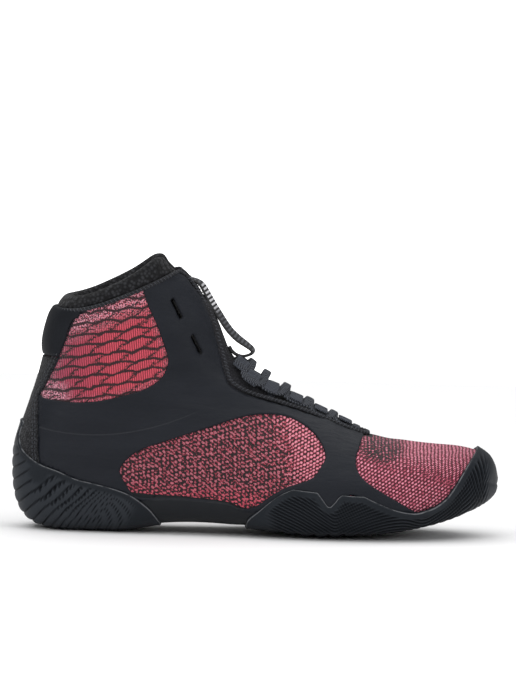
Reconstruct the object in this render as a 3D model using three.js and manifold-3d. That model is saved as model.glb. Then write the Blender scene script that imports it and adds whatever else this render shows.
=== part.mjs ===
// A high-top wrestling shoe for the right foot, in millimetres.
// +X points to the toe, +Z up and -Y to the outer (lateral) side of the foot.
// One table of sections, a fan that turns from the toe through the heel up to the ankle, gives every form.
import * as THREE from "three";
import { mergeVertices } from "three/addons/utils/BufferGeometryUtils.js";
import Module from "manifold-3d";

const wasm = await Module();
wasm.setup();

// Overall sizes
const LENGTH = 290;
const HEIGHT = 161;
const BALL_WIDTH = 100;

// Thicknesses
const UPPER_WALL = 1.8;
const FILM = 0.8;
const STRIP = 1.2;
const HEEL_PAD = 3.4;
const RUBBER = 2.2;
const ARCH_SKIN = 1.2;
const INSOLE = 4;
const TONGUE = 4;
const COLLAR_PAD = 6.5;
const GAP = 0.3;

// Heel ridges and forefoot flex grooves of the rubber
const RIDGE_PITCH = 5.6;
const RIDGE_DEPTH = 1.0;
const GROOVE_WIDTH = 2.6;
const GROOVE_DEPTH = 1.0;

// Closure
const LACE_WIDTH = 4.5;
const LACE_THICKNESS = 1.6;
const WEBBING_WIDTH = 6.5;
const WEBBING_THICKNESS = 1.0;
const BINDING_DIAMETER = 2.4;
const KEEPER_WIDTH = 8;
const KEEPER_THICKNESS = 1.8;
const SLOT_WIDTH = 2.2;
const LASTING_MARGIN = 9;

// Sections from the toe to the collar, each a row.
// S is a share of the length from the heel and Z of the height, both in percent.
// lateral, medial and centre are percent of the ball width, widest is the share of the way
// from under to over, and low and high are the fullness of the curve below and above it.
const SECTIONS = table(
  "underS underZ overS overZ soleS soleZ lateral medial centre widest low high",
  [
    [98.9, 19.9, 98.9, 22.4, 99.0, 19.3, 4, 4, 8, 0.5, 2, 2],
    [98.1, 17.6, 98.4, 26.1, 98.5, 16.6, 12, 11, 8, 0.46, 2.2, 2],
    [96.4, 15.4, 97.2, 29.6, 96.7, 13.7, 21.5, 19.5, 7.5, 0.41, 2.5, 2.1],
    [93.4, 12.9, 95.0, 31.9, 93.6, 10.8, 30, 27, 7, 0.37, 2.8, 2.2],
    [89.3, 10.3, 91.4, 33.3, 89.3, 7.7, 37, 33.5, 6, 0.33, 3, 2.3],
    [83.8, 7.8, 86.6, 33.9, 83.8, 5.0, 43.5, 38.5, 5, 0.3, 3.2, 2.3],
    [77.2, 6.1, 80.9, 34.8, 77.2, 3.0, 47.5, 42.5, 4, 0.28, 3.4, 2.3],
    [70.0, 5.3, 74.8, 36.3, 70.0, 1.9, 49.5, 44.2, 3, 0.27, 3.5, 2.2],
    [62.4, 5.2, 69.0, 40.1, 62.4, 1.4, 49.2, 42.5, 2, 0.26, 3.6, 2.1],
    [54.5, 5.5, 63.4, 44.8, 54.5, 2.6, 46, 38.5, 1, 0.25, 3.6, 2],
    [46.6, 6.2, 58.3, 49.2, 46.6, 4.0, 41.5, 34, 0, 0.25, 3.6, 1.95],
    [38.6, 6.8, 53.8, 53.1, 38.6, 4.6, 37.3, 30.5, -1, 0.25, 3.6, 1.9],
    [31.0, 6.9, 50.0, 56.7, 31.0, 3.9, 34.7, 29.3, -1.8, 0.25, 3.5, 1.9],
    [23.4, 6.8, 47.1, 60.0, 23.4, 1.7, 33.3, 30.3, -2.3, 0.25, 3.4, 1.95],
    [15.9, 6.6, 44.8, 63.2, 15.9, 1.4, 32.7, 31.5, -2.5, 0.26, 3.2, 2],
    [8.6, 7.3, 43.3, 67.0, 8.6, 1.7, 31.5, 32, -2.5, 0.28, 3, 2.1],
    [3.6, 11.2, 42.1, 72.0, 3.9, 5.2, 30.5, 31.5, -2.5, 0.32, 2.8, 2.15],
    [1.5, 18.6, 41.2, 76.1, 1.6, 13.7, 30, 31, -2.5, 0.36, 2.7, 2.2],
    [1.2, 28.0, 40.3, 79.8, 1.2, 28.0, 29.5, 30.5, -2.5, 0.38, 2.6, 2.2],
    [2.3, 37.3, 39.4, 83.5, 2.3, 37.3, 29, 30, -2.5, 0.4, 2.5, 2.2],
    [4.0, 47.2, 38.3, 87.1, 4.0, 47.2, 28.5, 29.5, -2.5, 0.42, 2.4, 2.2],
    [5.5, 56.2, 37.0, 90.2, 5.5, 56.2, 28.3, 29.3, -2.5, 0.43, 2.3, 2.2],
    [6.6, 64.9, 35.8, 93.0, 6.6, 64.9, 28.3, 29.3, -2.5, 0.44, 2.2, 2.2],
    [7.2, 72.7, 34.7, 95.0, 7.2, 72.7, 28.5, 29.5, -2.5, 0.45, 2.2, 2.2],
    [8.6, 81.4, 33.6, 96.8, 8.6, 81.4, 29, 30, -2.5, 0.46, 2.2, 2.2],
    [10.3, 88.8, 32.4, 98.4, 10.3, 88.8, 29.5, 30.5, -2.5, 0.46, 2.2, 2.2],
    [12.2, 96.0, 30.9, 100.0, 12.2, 96.0, 30, 31, -2.5, 0.46, 2.2, 2.2],
  ],
);
const LAST_ROW = SECTIONS.length - 1;

// Rows of the fan where things begin and end
const COLLAR_ROW = 24.1;
const COLLAR_DIP = 0.5;
const COLLAR_BEND_ROW = 20;
const INSOLE_ROWS = [2, 15];
const ARCH_ROWS = [9.3, 10.3, 12.2, 13.2];
const HEEL_WRAP_ROWS = [11.8, 19.8];
const RIDGE_ROWS = [12.6, 18.6];
const GROOVE_ROWS = [4.2, 5.2, 6.1, 7, 7.9, 8.8];
const HEEL_PAD_FOOT_ROW = 20.6;
const TONGUE_TOE_ROW = 7.6;
const TONGUE_NECK_ROWS = [20.5, 22.8];

// The throat: half its width in percent of the ball width, by row
const THROAT = table("row half", [
  [7.2, 4],
  [7.4, 8],
  [7.8, 12],
  [8.5, 14],
  [9.5, 15],
  [10.5, 16],
  [12, 17],
  [13.2, 16.5],
  [14, 13],
  [15, 10],
  [16, 8.5],
  [18, 7.5],
  [21, 7.5],
  [23, 8.5],
  [24, 12],
  [26, 20],
]);

// Outlines seen from the side: S in percent of the length, Z in percent of the height
const HEEL_WRAP_EDGE = [
  [-1.4, 41.6],
  [2.2, 39.4],
  [1.4, 35.1],
  [1.9, 31.1],
  [3.0, 28.3],
  [6.0, 24.8],
  [9.7, 22.7],
  [13.3, 20.0],
  [17.1, 18.6],
  [21.6, 16.6],
  [25.0, 14.2],
  [28.5, 9.6],
  [30.6, 4.7],
  [31.2, 2.5],
  [30.6, 0.9],
  [29.2, 0],
];
const FOREFOOT_WRAP_EDGE = [
  [48.3, 3.4],
  [48.8, 6.6],
  [50.8, 10.1],
  [53.2, 14.1],
  [56.2, 17.8],
  [59.3, 19.5],
  [62.0, 18.8],
  [63.6, 16.3],
  [65.1, 13.2],
  [66.1, 14.2],
  [67.5, 17.1],
  [69.6, 18.8],
  [73.7, 15.9],
  [78.4, 12.4],
  [83.0, 10.7],
  [85.4, 11.8],
  [87.4, 13.4],
  [89.5, 16.6],
  [91.1, 20.8],
  [92.2, 24.4],
  [93.4, 28.2],
  [94.8, 32.0],
  [96.4, 35.2],
  [98.6, 39.0],
];
const ANKLE_PANEL = [
  [26.0, 89.7],
  [21.3, 86.5],
  [13.0, 82.6],
  [10.2, 77.6],
  [8.8, 69.9],
  [7.0, 61.5],
  [4.6, 52.0],
  [8.6, 48.4],
  [13.7, 48.1],
  [21.9, 50.5],
  [27.0, 53.4],
  [30.0, 56.8],
  [31.7, 64.2],
  [31.0, 68.9],
  [29.3, 76.9],
  [27.2, 86.0],
];
const SIDE_PANEL = [
  [22.4, 23.9],
  [23.1, 20.3],
  [26.1, 13.9],
  [32.7, 13.8],
  [38.8, 13.8],
  [43.3, 12.6],
  [47.1, 10.4],
  [50.3, 12.1],
  [56.2, 19.4],
  [61.9, 23.6],
  [64.2, 30.9],
  [62.1, 38.5],
  [56.8, 44.3],
  [50.3, 45.1],
  [41.5, 40.8],
  [31.3, 34.5],
  [24.2, 28.4],
];
const TOE_PANEL_EDGE = [
  [72.6, 42.0],
  [71.7, 36.8],
  [70.6, 31.1],
  [70.7, 27.6],
  [71.5, 24.5],
  [75.7, 18.8],
  [81.5, 12.6],
  [84.0, 8.0],
];
const HEEL_STRIP_EDGE = [
  [5.9, 18.0],
  [5.4, 29.2],
  [5.2, 43.8],
  [5.2, 49.4],
  [8.6, 61.8],
  [10.0, 68.0],
];
const HEEL_PAD_EDGE = [
  [10.0, 68.0],
  [11.0, 73.8],
  [12.0, 77.8],
  [13.6, 81.0],
  [14.0, 95.0],
];
const HEEL_PAD_FOOT = 63.5;
const MIDSOLE_EDGE = [
  [18.0, 13.6],
  [34.7, 13.7],
  [41.9, 13.0],
  [47.1, 10.4],
  [51.0, 9.4],
];
const ARCH_FLOOR = 4.2;
const SLOTS = [
  [
    [32.2, 86.0],
    [34.0, 79.8],
  ],
  [
    [36.4, 72.8],
    [38.1, 66.8],
  ],
];

// Rows where the lace passes through its webbing loops
const EYELET_ROWS = [8.2, 9.1, 10.1, 11.2, 12.3, 13.4];

// The lace keeper, a strap that hangs from the tongue top and folds out into a loop:
// S and Z in percent of length and height, and the turn of its face towards the outer side
const KEEPER_PATH = table("s z turn", [
  [34.15, 94.75, 0],
  [34.9, 93.4, 0],
  [36.5, 92.8, 8],
  [37.8, 91.6, 16],
  [38.7, 89.5, 22],
  [39.6, 86.6, 25],
  [40.7, 83.3, 25],
  [41.9, 80.0, 25],
  [43.0, 77.0, 25],
  [44.3, 74.0, 25],
  [45.8, 71.5, 25],
  [47.4, 69.5, 20],
  [48.6, 67.9, 15],
  [48.9, 66.7, 10],
  [48.2, 65.6, 5],
  [46.9, 65.0, 5],
  [45.6, 65.5, 0],
  [44.6, 66.9, 0],
  [44.1, 68.5, 0],
]);

// Fineness of the grids
const AROUND = 20;
const NORMAL_STEP = 0.02;
const REACH = LENGTH;

function table(columns, rows) {
  const names = columns.split(" ");
  return rows.map((row) => Object.fromEntries(names.map((name, i) => [name, row[i]])));
}

const alongX = (share) => (share / 100) * LENGTH - LENGTH / 2;
const aboveZ = (share) => (share / 100) * HEIGHT;
const asideY = (share) => (share / 100) * BALL_WIDTH;
const lerp = THREE.MathUtils.lerp;
const clamp = THREE.MathUtils.clamp;
const smoothstep = THREE.MathUtils.smoothstep;

function sidePoint(s, z) {
  return new THREE.Vector3(alongX(s), 0, aboveZ(z));
}

// Every column of the section table at a row that may lie between two rows, on a Catmull-Rom curve.
function rowAt(row) {
  const start = clamp(Math.floor(row), 0, LAST_ROW - 1);
  const u = row - start;
  const [before, here, next, after] = [-1, 0, 1, 2].map((k) => SECTIONS[clamp(start + k, 0, LAST_ROW)]);
  const values = {};
  for (const name of Object.keys(here)) {
    const [a, b, c, d] = [before[name], here[name], next[name], after[name]];
    const square = 2 * a - 5 * b + 4 * c - d;
    const cube = 3 * b - a - 3 * c + d;
    values[name] = 0.5 * (2 * b + (c - a) * u + square * u * u + cube * u * u * u);
  }
  return values;
}

// A section in millimetres: its ends in the middle plane, its widest point and its half widths.
function section(row) {
  const values = rowAt(row);
  const under = sidePoint(values.underS, values.underZ);
  const over = sidePoint(values.overS, values.overZ);
  return {
    under,
    over,
    sole: sidePoint(values.soleS, values.soleZ),
    middle: under.clone().lerp(over, values.widest),
    lateral: asideY(values.lateral),
    medial: asideY(values.medial),
    centre: asideY(values.centre),
    low: values.low,
    high: values.high,
  };
}

// A point of the last's surface. turn runs round the section: 0 under the foot, 0.25 on the lateral
// side, 0.5 over the instep and 0.75 on the medial side. asSole takes the underside down to the ground.
function lastPoint(row, turn, asSole) {
  const part = section(row);
  const round = turn - Math.floor(turn);
  const lateral = round < 0.5;
  const climb = lateral ? round * 2 : 2 - round * 2;
  const below = climb < 0.5;
  const angle = Math.PI * (below ? climb : 1 - climb);
  const power = 2 / (below ? part.low : part.high);
  const lowEnd = asSole ? part.sole : part.under;
  const end = below ? lowEnd : part.over;
  const reach = Math.max(Math.cos(angle), 0) ** power;
  const out = Math.max(Math.sin(angle), 0) ** power;
  const point = part.middle.clone().lerp(end, reach);
  point.y = part.centre + (lateral ? -part.lateral : part.medial) * out;
  return point;
}

function outward(row, turn, asSole) {
  const along = lastPoint(Math.min(row + NORMAL_STEP, LAST_ROW), turn, asSole);
  along.sub(lastPoint(Math.max(row - NORMAL_STEP, 0), turn, asSole));
  const around = lastPoint(row, turn + NORMAL_STEP / 4, asSole);
  around.sub(lastPoint(row, turn - NORMAL_STEP / 4, asSole));
  return around.cross(along).normalize();
}

function skin(row, turn, offset, asSole = false) {
  return lastPoint(row, turn, asSole).addScaledVector(outward(row, turn, asSole), offset);
}

// The turn of the point that lies a given way aside of the middle, on the upper side of a section.
function turnAside(row, aside) {
  const part = section(row);
  const width = aside < 0 ? part.lateral : part.medial;
  const out = clamp(Math.abs(aside) / width, 0, 1);
  const climb = 1 - Math.asin(out ** (part.high / 2)) / Math.PI;
  return aside < 0 ? climb / 2 : 1 - climb / 2;
}

// Solids from points and triangles, turned to face out
function solidOf(points, triangles) {
  const make = (triVerts) =>
    new wasm.Manifold(
      new wasm.Mesh({
        numProp: 3,
        vertProperties: new Float32Array(points.flatMap((point) => point.toArray())),
        triVerts: new Uint32Array(triVerts.flat()),
      }),
    );
  const made = make(triangles);
  return made.volume() > 0 ? made : make(triangles.map(([a, b, c]) => [a, c, b]));
}

// A closed body through rings of equally many points, with a cap on each end.
function loft(rings) {
  const count = rings[0].length;
  const points = rings.flat();
  const triangles = [];
  for (let i = 0; i + 1 < rings.length; i++) {
    for (let j = 0; j < count; j++) {
      const a = i * count + j;
      const b = i * count + ((j + 1) % count);
      triangles.push([a, b, b + count], [a, b + count, a + count]);
    }
  }
  for (const [ring, start] of [
    [rings[0], 0],
    [rings.at(-1), (rings.length - 1) * count],
  ]) {
    const hub = points.length;
    const middle = new THREE.Vector3();
    ring.forEach((point) => middle.addScaledVector(point, 1 / count));
    points.push(middle);
    for (let j = 0; j < count; j++) {
      const a = start + j;
      const b = start + ((j + 1) % count);
      triangles.push(start === 0 ? [b, a, hub] : [a, b, hub]);
    }
  }
  return solidOf(points, triangles);
}

// A closed body between two grids of equally many rows and columns.
function sheet(front, back) {
  const rows = front.length;
  const columns = front[0].length;
  const size = rows * columns;
  const points = [...front.flat(), ...back.flat()];
  const triangles = [];
  const quad = (a, b, c, d) => triangles.push([a, b, c], [a, c, d]);
  for (let i = 0; i + 1 < rows; i++) {
    for (let j = 0; j + 1 < columns; j++) {
      const a = i * columns + j;
      quad(a, a + 1, a + columns + 1, a + columns);
      quad(size + a, size + a + columns, size + a + columns + 1, size + a + 1);
    }
    const first = i * columns;
    const last = first + columns - 1;
    quad(first, first + columns, size + first + columns, size + first);
    quad(last + columns, last, size + last, size + last + columns);
  }
  const end = (rows - 1) * columns;
  for (let j = 0; j + 1 < columns; j++) {
    quad(j + 1, j, size + j, size + j + 1);
    quad(end + j, end + j + 1, size + end + j + 1, size + end + j);
  }
  return solidOf(points, triangles);
}

// The largest body of a solid, without the crumbs that a cut leaves beside it
function largest(solid) {
  return solid.decompose().reduce((best, body) => (body.volume() > best.volume() ? body : best));
}

// A closed geometry of three.js as a solid
function solidFrom(geometry) {
  geometry.deleteAttribute("normal");
  geometry.deleteAttribute("uv");
  const merged = mergeVertices(geometry, 1e-4);
  return new wasm.Manifold(
    new wasm.Mesh({
      numProp: 3,
      vertProperties: merged.attributes.position.array,
      triVerts: new Uint32Array(merged.index.array),
    }),
  );
}

// Outlines in the side view, in millimetres
const sideOutline = (shares) => shares.map(([s, z]) => new THREE.Vector2(alongX(s), aboveZ(z)));

// The outline moved out by a distance.
function grown(outline, distance) {
  const side = THREE.ShapeUtils.area(outline) > 0 ? 1 : -1;
  return outline.map((point, i) => {
    const before = outline.at(i - 1);
    const after = outline[(i + 1) % outline.length];
    const normal = new THREE.Vector2(after.y - before.y, before.x - after.x).normalize();
    return point.clone().addScaledVector(normal, side * distance);
  });
}

// Everything within an outline of the side view, from one side of the shoe to the other.
function sideCut(outline) {
  const geometry = new THREE.ExtrudeGeometry(new THREE.Shape(outline), {
    depth: REACH,
    bevelEnabled: false,
  });
  geometry.rotateX(Math.PI / 2);
  geometry.translate(0, REACH / 2, 0);
  return solidFrom(geometry);
}

function halfOf(side) {
  const geometry = new THREE.BoxGeometry(2 * REACH, REACH, 2 * REACH);
  geometry.translate(0, (side * REACH) / 2, 0);
  return solidFrom(geometry);
}

// The row of the collar's edge, which dips on both sides of the ankle
function collarRow(turn) {
  return COLLAR_ROW - COLLAR_DIP * Math.sin(2 * Math.PI * turn) ** 2;
}

// Whole rows from one row to another, with both ends
function formRows(from, to) {
  const rows = [from];
  for (let row = Math.floor(from) + 1; row < to; row++) rows.push(row);
  return [...rows, to];
}

// The whole last as a closed body, moved out or in by an offset that may change along it.
// It ends at the collar's edge, or past it where it is there to cut another form.
function form(offset, { from = 0, past = false, asSole = false } = {}) {
  const offsetAt = typeof offset === "function" ? offset : () => offset;
  const rings = formRows(from, LAST_ROW).map((row) =>
    Array.from({ length: AROUND }, (_, j) => {
      const turn = j / AROUND;
      const end = past ? LAST_ROW : collarRow(turn);
      const share = Math.max(row - COLLAR_BEND_ROW, 0) / (LAST_ROW - COLLAR_BEND_ROW);
      const warped = row < COLLAR_BEND_ROW ? row : lerp(COLLAR_BEND_ROW, end, share);
      return skin(warped, turn, offsetAt(warped, turn), asSole);
    }),
  );
  return loft(rings);
}

// The throat between the two edges, through the wall
function throatHalf(row) {
  const next = THROAT.findIndex((entry) => entry.row >= row);
  if (next <= 0) return asideY(THROAT[0].half);
  const [a, b] = [THROAT[next - 1], THROAT[next]];
  return asideY(lerp(a.half, b.half, (row - a.row) / (b.row - a.row)));
}

function throatCut() {
  const depth = 8 * UPPER_WALL;
  const rings = THROAT.map(({ row }) => {
    const part = section(row);
    const up = part.over.clone().sub(part.middle).normalize();
    const half = throatHalf(row);
    return [
      [-1, -depth],
      [1, -depth],
      [1, depth],
      [-1, depth],
    ].map(([side, rise]) => {
      const corner = part.over.clone().addScaledVector(up, rise);
      corner.y = part.centre + side * half;
      return corner;
    });
  });
  return loft(rings);
}

// A plate under the foot: between two heights above the upper's underside, inset from its sides.
function underPlate(low, high, inset) {
  const [from, to] = INSOLE_ROWS;
  const rings = [];
  for (let row = from; row <= to; row++) {
    const part = section(row);
    const sides = [inset - part.lateral, part.medial - inset];
    rings.push(
      [
        [0, low],
        [1, low],
        [1, high],
        [0, high],
      ].map(([side, rise]) => new THREE.Vector3(part.under.x, part.centre + sides[side], part.under.z + rise)),
    );
  }
  return loft(rings);
}

// Cutting outlines
const heelWrapOutline = [...sideOutline(HEEL_WRAP_EDGE), new THREE.Vector2(alongX(-4), 0)];
heelWrapOutline.push(new THREE.Vector2(alongX(-4), aboveZ(HEEL_WRAP_EDGE[0][1])));
const forefootWrapOutline = [
  ...sideOutline(FOREFOOT_WRAP_EDGE),
  new THREE.Vector2(alongX(104), aboveZ(FOREFOOT_WRAP_EDGE.at(-1)[1])),
  new THREE.Vector2(alongX(104), 0),
  new THREE.Vector2(alongX(FOREFOOT_WRAP_EDGE[0][0]), 0),
];
const midsoleOutline = [
  ...sideOutline(MIDSOLE_EDGE),
  ...sideOutline([
    [104, 20],
    [104, -5],
    [49.5, -5],
    [47.2, ARCH_FLOOR - 0.3],
    [40, ARCH_FLOOR + 0.3],
    [34, ARCH_FLOOR],
    [30, ARCH_FLOOR - 1.2],
    [28, -5],
    [-4, -5],
    [-4, 13.6],
  ]),
];
const backEdge = [...HEEL_STRIP_EDGE, ...HEEL_PAD_EDGE.slice(1)];
const backOutline = sideOutline([...backEdge, [-4, 95], [-4, 18]]);
const filmOutline = [
  ...sideOutline(backEdge).map((point) => point.clone().add(new THREE.Vector2(GAP, 0))),
  ...sideOutline([
    [14.0, 110],
    [62, 110],
    [76, 60],
  ]),
  ...sideOutline(TOE_PANEL_EDGE),
  ...sideOutline([[5.9, 8.0]]),
];

function slotOutline([from, to]) {
  const [a, b] = sideOutline([from, to]);
  const across = new THREE.Vector2(b.y - a.y, a.x - b.x).setLength(SLOT_WIDTH / 2);
  const corners = [a.clone().add(across), a.clone().sub(across), b.clone().sub(across)];
  return [...corners, b.clone().add(across)];
}

const heelWrapCut = sideCut(heelWrapOutline);
const forefootWrapCut = sideCut(forefootWrapOutline);
const wrapClearance = sideCut(grown(heelWrapOutline, GAP)).add(sideCut(grown(forefootWrapOutline, GAP)));
const slotCuts = SLOTS.map((slot) => sideCut(slotOutline(slot)));
const throat = throatCut();

// Upper
function upper() {
  const inside = form(-UPPER_WALL, { from: 1, past: true });
  const opening = underPlate(-3 * UPPER_WALL, 4 * UPPER_WALL, LASTING_MARGIN);
  let made = form(0).subtract(inside).subtract(throat).subtract(opening);
  slotCuts.forEach((slot) => (made = made.subtract(slot)));
  return made;
}

// A layer over the upper within an outline of the side view
function overlay(offset, outline) {
  return form(offset).intersect(sideCut(outline)).subtract(form(GAP, { past: true }));
}

function film(side) {
  let made = overlay(GAP + FILM, filmOutline).subtract(throat).subtract(wrapClearance);
  made = made.subtract(sideCut(grown(midsoleOutline, GAP)));
  for (const panel of [ANKLE_PANEL, SIDE_PANEL]) made = made.subtract(sideCut(sideOutline(panel)));
  slotCuts.forEach((slot) => (made = made.subtract(slot)));
  return largest(made.intersect(halfOf(side)));
}

function heelStrip() {
  const strip = overlay(GAP + STRIP, backOutline).subtract(wrapClearance);
  return strip.trimByPlane([0, 0, -1], -aboveZ(HEEL_PAD_FOOT));
}

// The padded tab behind the ankle swells in its middle and thins to its edges.
function heelPad() {
  const [foot, top] = [HEEL_PAD_FOOT_ROW, COLLAR_ROW];
  const swell = (row, turn) => {
    const aside = Math.min(turn, 1 - turn) / 0.18;
    const rise = clamp((row - foot) / (top - foot), 0, 1);
    return Math.max(1 - aside * aside, 0) * Math.sin(Math.PI * rise) ** 0.5;
  };
  const pad = overlay((row, turn) => GAP + FILM + (HEEL_PAD - FILM) * swell(row, turn), backOutline);
  return pad.trimByPlane([0, 0, 1], aboveZ(HEEL_PAD_FOOT) + 2 * GAP);
}

// Sole
function archSwell(row) {
  const [start, full, waning, end] = ARCH_ROWS;
  return ARCH_SKIN * smoothstep(row, start, full) * (1 - smoothstep(row, waning, end));
}

function midsole() {
  const body = form((row) => archSwell(row), { asSole: true });
  return body.intersect(sideCut(midsoleOutline)).subtract(form(GAP, { past: true }));
}

// What the rubber wraps round: the midsole and the upper, with their clearance
function soleCore() {
  const core = form((row) => archSwell(row) + GAP, { past: true, asSole: true });
  return core.add(form(GAP, { past: true }));
}

// Rows along the heel where its ridges rise and fall, an even pitch apart
function ridgeRows(from, to) {
  const stations = [];
  let travelled = 0;
  let last = section(from).sole;
  for (let row = from; row < to; row += NORMAL_STEP) {
    const here = section(row).sole;
    travelled += here.distanceTo(last);
    last = here;
    const phase = travelled / (RIDGE_PITCH / 3);
    if (phase >= stations.length) stations.push({ row, groove: stations.length % 3 === 2 });
  }
  return stations;
}

function outsoleHeel() {
  const reach = 6;
  const turns = [];
  for (let j = -reach; j <= reach; j++) turns.push(j / AROUND);
  const [front, top] = HEEL_WRAP_ROWS.map((row) => ({ row, groove: false }));
  const rows = [front, ...ridgeRows(...RIDGE_ROWS), top];
  const rings = rows.map(({ row, groove }) =>
    turns.map((turn) => {
      const fade = 1 - smoothstep(Math.abs(turn), 0.2, 0.3);
      return skin(row, turn, GAP + RUBBER + RIDGE_DEPTH * (groove ? 1 - fade : 1) - RIDGE_DEPTH / 2, true);
    }),
  );
  return loft(rings).intersect(heelWrapCut).subtract(soleCore());
}

// A bar across the underside of the rubber, square to its curve
function flexGroove(row) {
  const { sole, lateral, medial, centre } = section(row);
  const along = section(row - 0.1).sole.sub(section(row + 0.1).sole).normalize();
  const down = new THREE.Vector3(along.z, 0, -along.x);
  const place = sole.addScaledVector(down, GAP + RUBBER);
  const geometry = new THREE.BoxGeometry(GROOVE_WIDTH, 2 * (lateral + medial), 2 * GROOVE_DEPTH);
  geometry.rotateY(-Math.atan2(along.z, along.x));
  geometry.translate(place.x, centre, place.z);
  return solidFrom(geometry);
}

function outsoleForefoot() {
  const rubber = form(GAP + RUBBER, { asSole: true }).intersect(forefootWrapCut).subtract(soleCore());
  return GROOVE_ROWS.reduce((made, row) => made.subtract(flexGroove(row)), rubber);
}

function insole() {
  const inside = form(-UPPER_WALL - GAP, { from: 1, past: true });
  return inside.intersect(underPlate(0, UPPER_WALL + GAP + INSOLE, -REACH / 2));
}

// Tongue, from under the throat's toe end to above the collar, where it thickens and narrows
function tongue() {
  const [from, to] = [TONGUE_TOE_ROW, LAST_ROW];
  const steps = 18;
  const columns = 6;
  const top = UPPER_WALL + 3 * GAP;
  const grids = [[], []];
  for (let i = 0; i <= steps; i++) {
    const row = lerp(from, to, i / steps);
    const topHalf = asideY(12.5);
    const half = lerp(throatHalf(row) + 8, topHalf, smoothstep(row, ...TONGUE_NECK_ROWS));
    const thick = TONGUE * (1 + smoothstep(row, TONGUE_NECK_ROWS[0], LAST_ROW));
    [top, top + thick].forEach((depth, k) => {
      const line = [];
      for (let j = 0; j <= columns; j++) line.push(skin(row, turnAside(row, half * ((2 * j) / columns - 1)), -depth));
      grids[k].push(line);
    });
  }
  return sheet(...grids);
}

// The collar's padded roll, set on the edge of the upper. Its outline holds inward and upward places
// in millimetres, measured from that edge.
function collarPad() {
  const depth = UPPER_WALL + COLLAR_PAD;
  const outline = [
    [0, GAP],
    [0.2, 4],
    [1.6, 8],
    [4, 9.6],
    [6.6, 8.6],
    [depth, 4.4],
    [depth + 0.4, -3],
    [depth - 1, -9],
    [UPPER_WALL + 3.8, -15],
    [UPPER_WALL + 2, -15],
    [UPPER_WALL + 3 * GAP, GAP + 0.9 * UPPER_WALL],
  ];
  const reach = 7;
  const rings = [];
  for (let j = -reach - 1; j <= reach + 1; j++) {
    const turn = clamp(j, -reach - 0.6, reach + 0.6) / AROUND;
    const edge = skin(collarRow(turn), turn, 0);
    const inward = outward(collarRow(turn), turn).negate();
    const rise = edge.clone().sub(skin(collarRow(turn) - 0.2, turn, 0));
    rise.addScaledVector(inward, -rise.dot(inward)).normalize();
    rings.push(
      outline.map(([inner, up]) => edge.clone().addScaledVector(inward, inner).addScaledVector(rise, up)),
    );
  }
  return loft(rings);
}

// Flat strips swept along a path. Each station has a place, the direction of its face and, where it
// isn't that from its neighbour before to its neighbour after, the direction that it runs in.
function ribbon(stations, width, thickness) {
  const rings = stations.map(({ place, face, heading }, i) => {
    const before = stations[Math.max(i - 1, 0)].place;
    const after = stations[Math.min(i + 1, stations.length - 1)].place;
    const along = heading ?? after.clone().sub(before).normalize();
    const across = along.clone().cross(face).normalize();
    const up = across.clone().cross(along).normalize();
    return [
      [-1, -1],
      [1, -1],
      [1, 1],
      [-1, 1],
    ].map(([a, b]) =>
      place
        .clone()
        .addScaledVector(across, (a * width) / 2)
        .addScaledVector(up, (b * thickness) / 2),
    );
  });
  return loft(rings);
}

// A place over the throat: aside is measured from the middle of the shoe, offset from the last.
function throatPlace(row, aside, offset) {
  const turn = turnAside(row, aside);
  return { place: skin(row, turn, offset), face: outward(row, turn) };
}

// How far in from the throat's edge the rolled binding ends, and the middle of the lace in its loop
const bindingInner = BINDING_DIAMETER + 4 * GAP;
const laceInset = bindingInner + GAP + LACE_WIDTH / 2;
const laceRun = WEBBING_WIDTH / 2 + 1;
const laceRise = 0.6;
const crossRise = 2.6;

// How many rows a distance along the instep takes
function rowsAlong(row, distance) {
  return distance / section(row - 0.5).over.distanceTo(section(row + 0.5).over);
}

// Half the throat at the narrower end of the lace's run through a loop
function narrowestHalf(row) {
  const step = rowsAlong(row, laceRun);
  return Math.min(throatHalf(row - step), throatHalf(row + step));
}

// The lace crosses twice between each two pairs of loops, and its ends stop in the top loops.
function laces() {
  const strands = [-1, 1].map((first) => {
    const stations = [];
    EYELET_ROWS.forEach((row, i) => {
      const side = i % 2 === 0 ? first : -first;
      const step = rowsAlong(row, laceRun);
      const aside = side * (narrowestHalf(row) - laceInset);
      const ends = [row - step, row + step].map((end) => throatPlace(end, aside, laceRise));
      const heading = ends[1].place.clone().sub(ends[0].place).normalize();
      ends.forEach((end) => stations.push({ ...end, heading }));
      const next = EYELET_ROWS[i + 1];
      if (next !== undefined) stations.push(throatPlace((row + next) / 2, 0, crossRise));
    });
    return ribbon(stations, LACE_WIDTH, LACE_THICKNESS);
  });
  const row = EYELET_ROWS[0] - rowsAlong(EYELET_ROWS[0], laceRun + LACE_WIDTH / 2);
  const half = throatHalf(row) - laceInset;
  const bar = [-1, -0.5, 0, 0.5, 1].map((share) => throatPlace(row, share * half, laceRise + 1 - share * share));
  return strands[0].add(strands[1]).add(ribbon(bar, LACE_WIDTH, LACE_THICKNESS));
}

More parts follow.
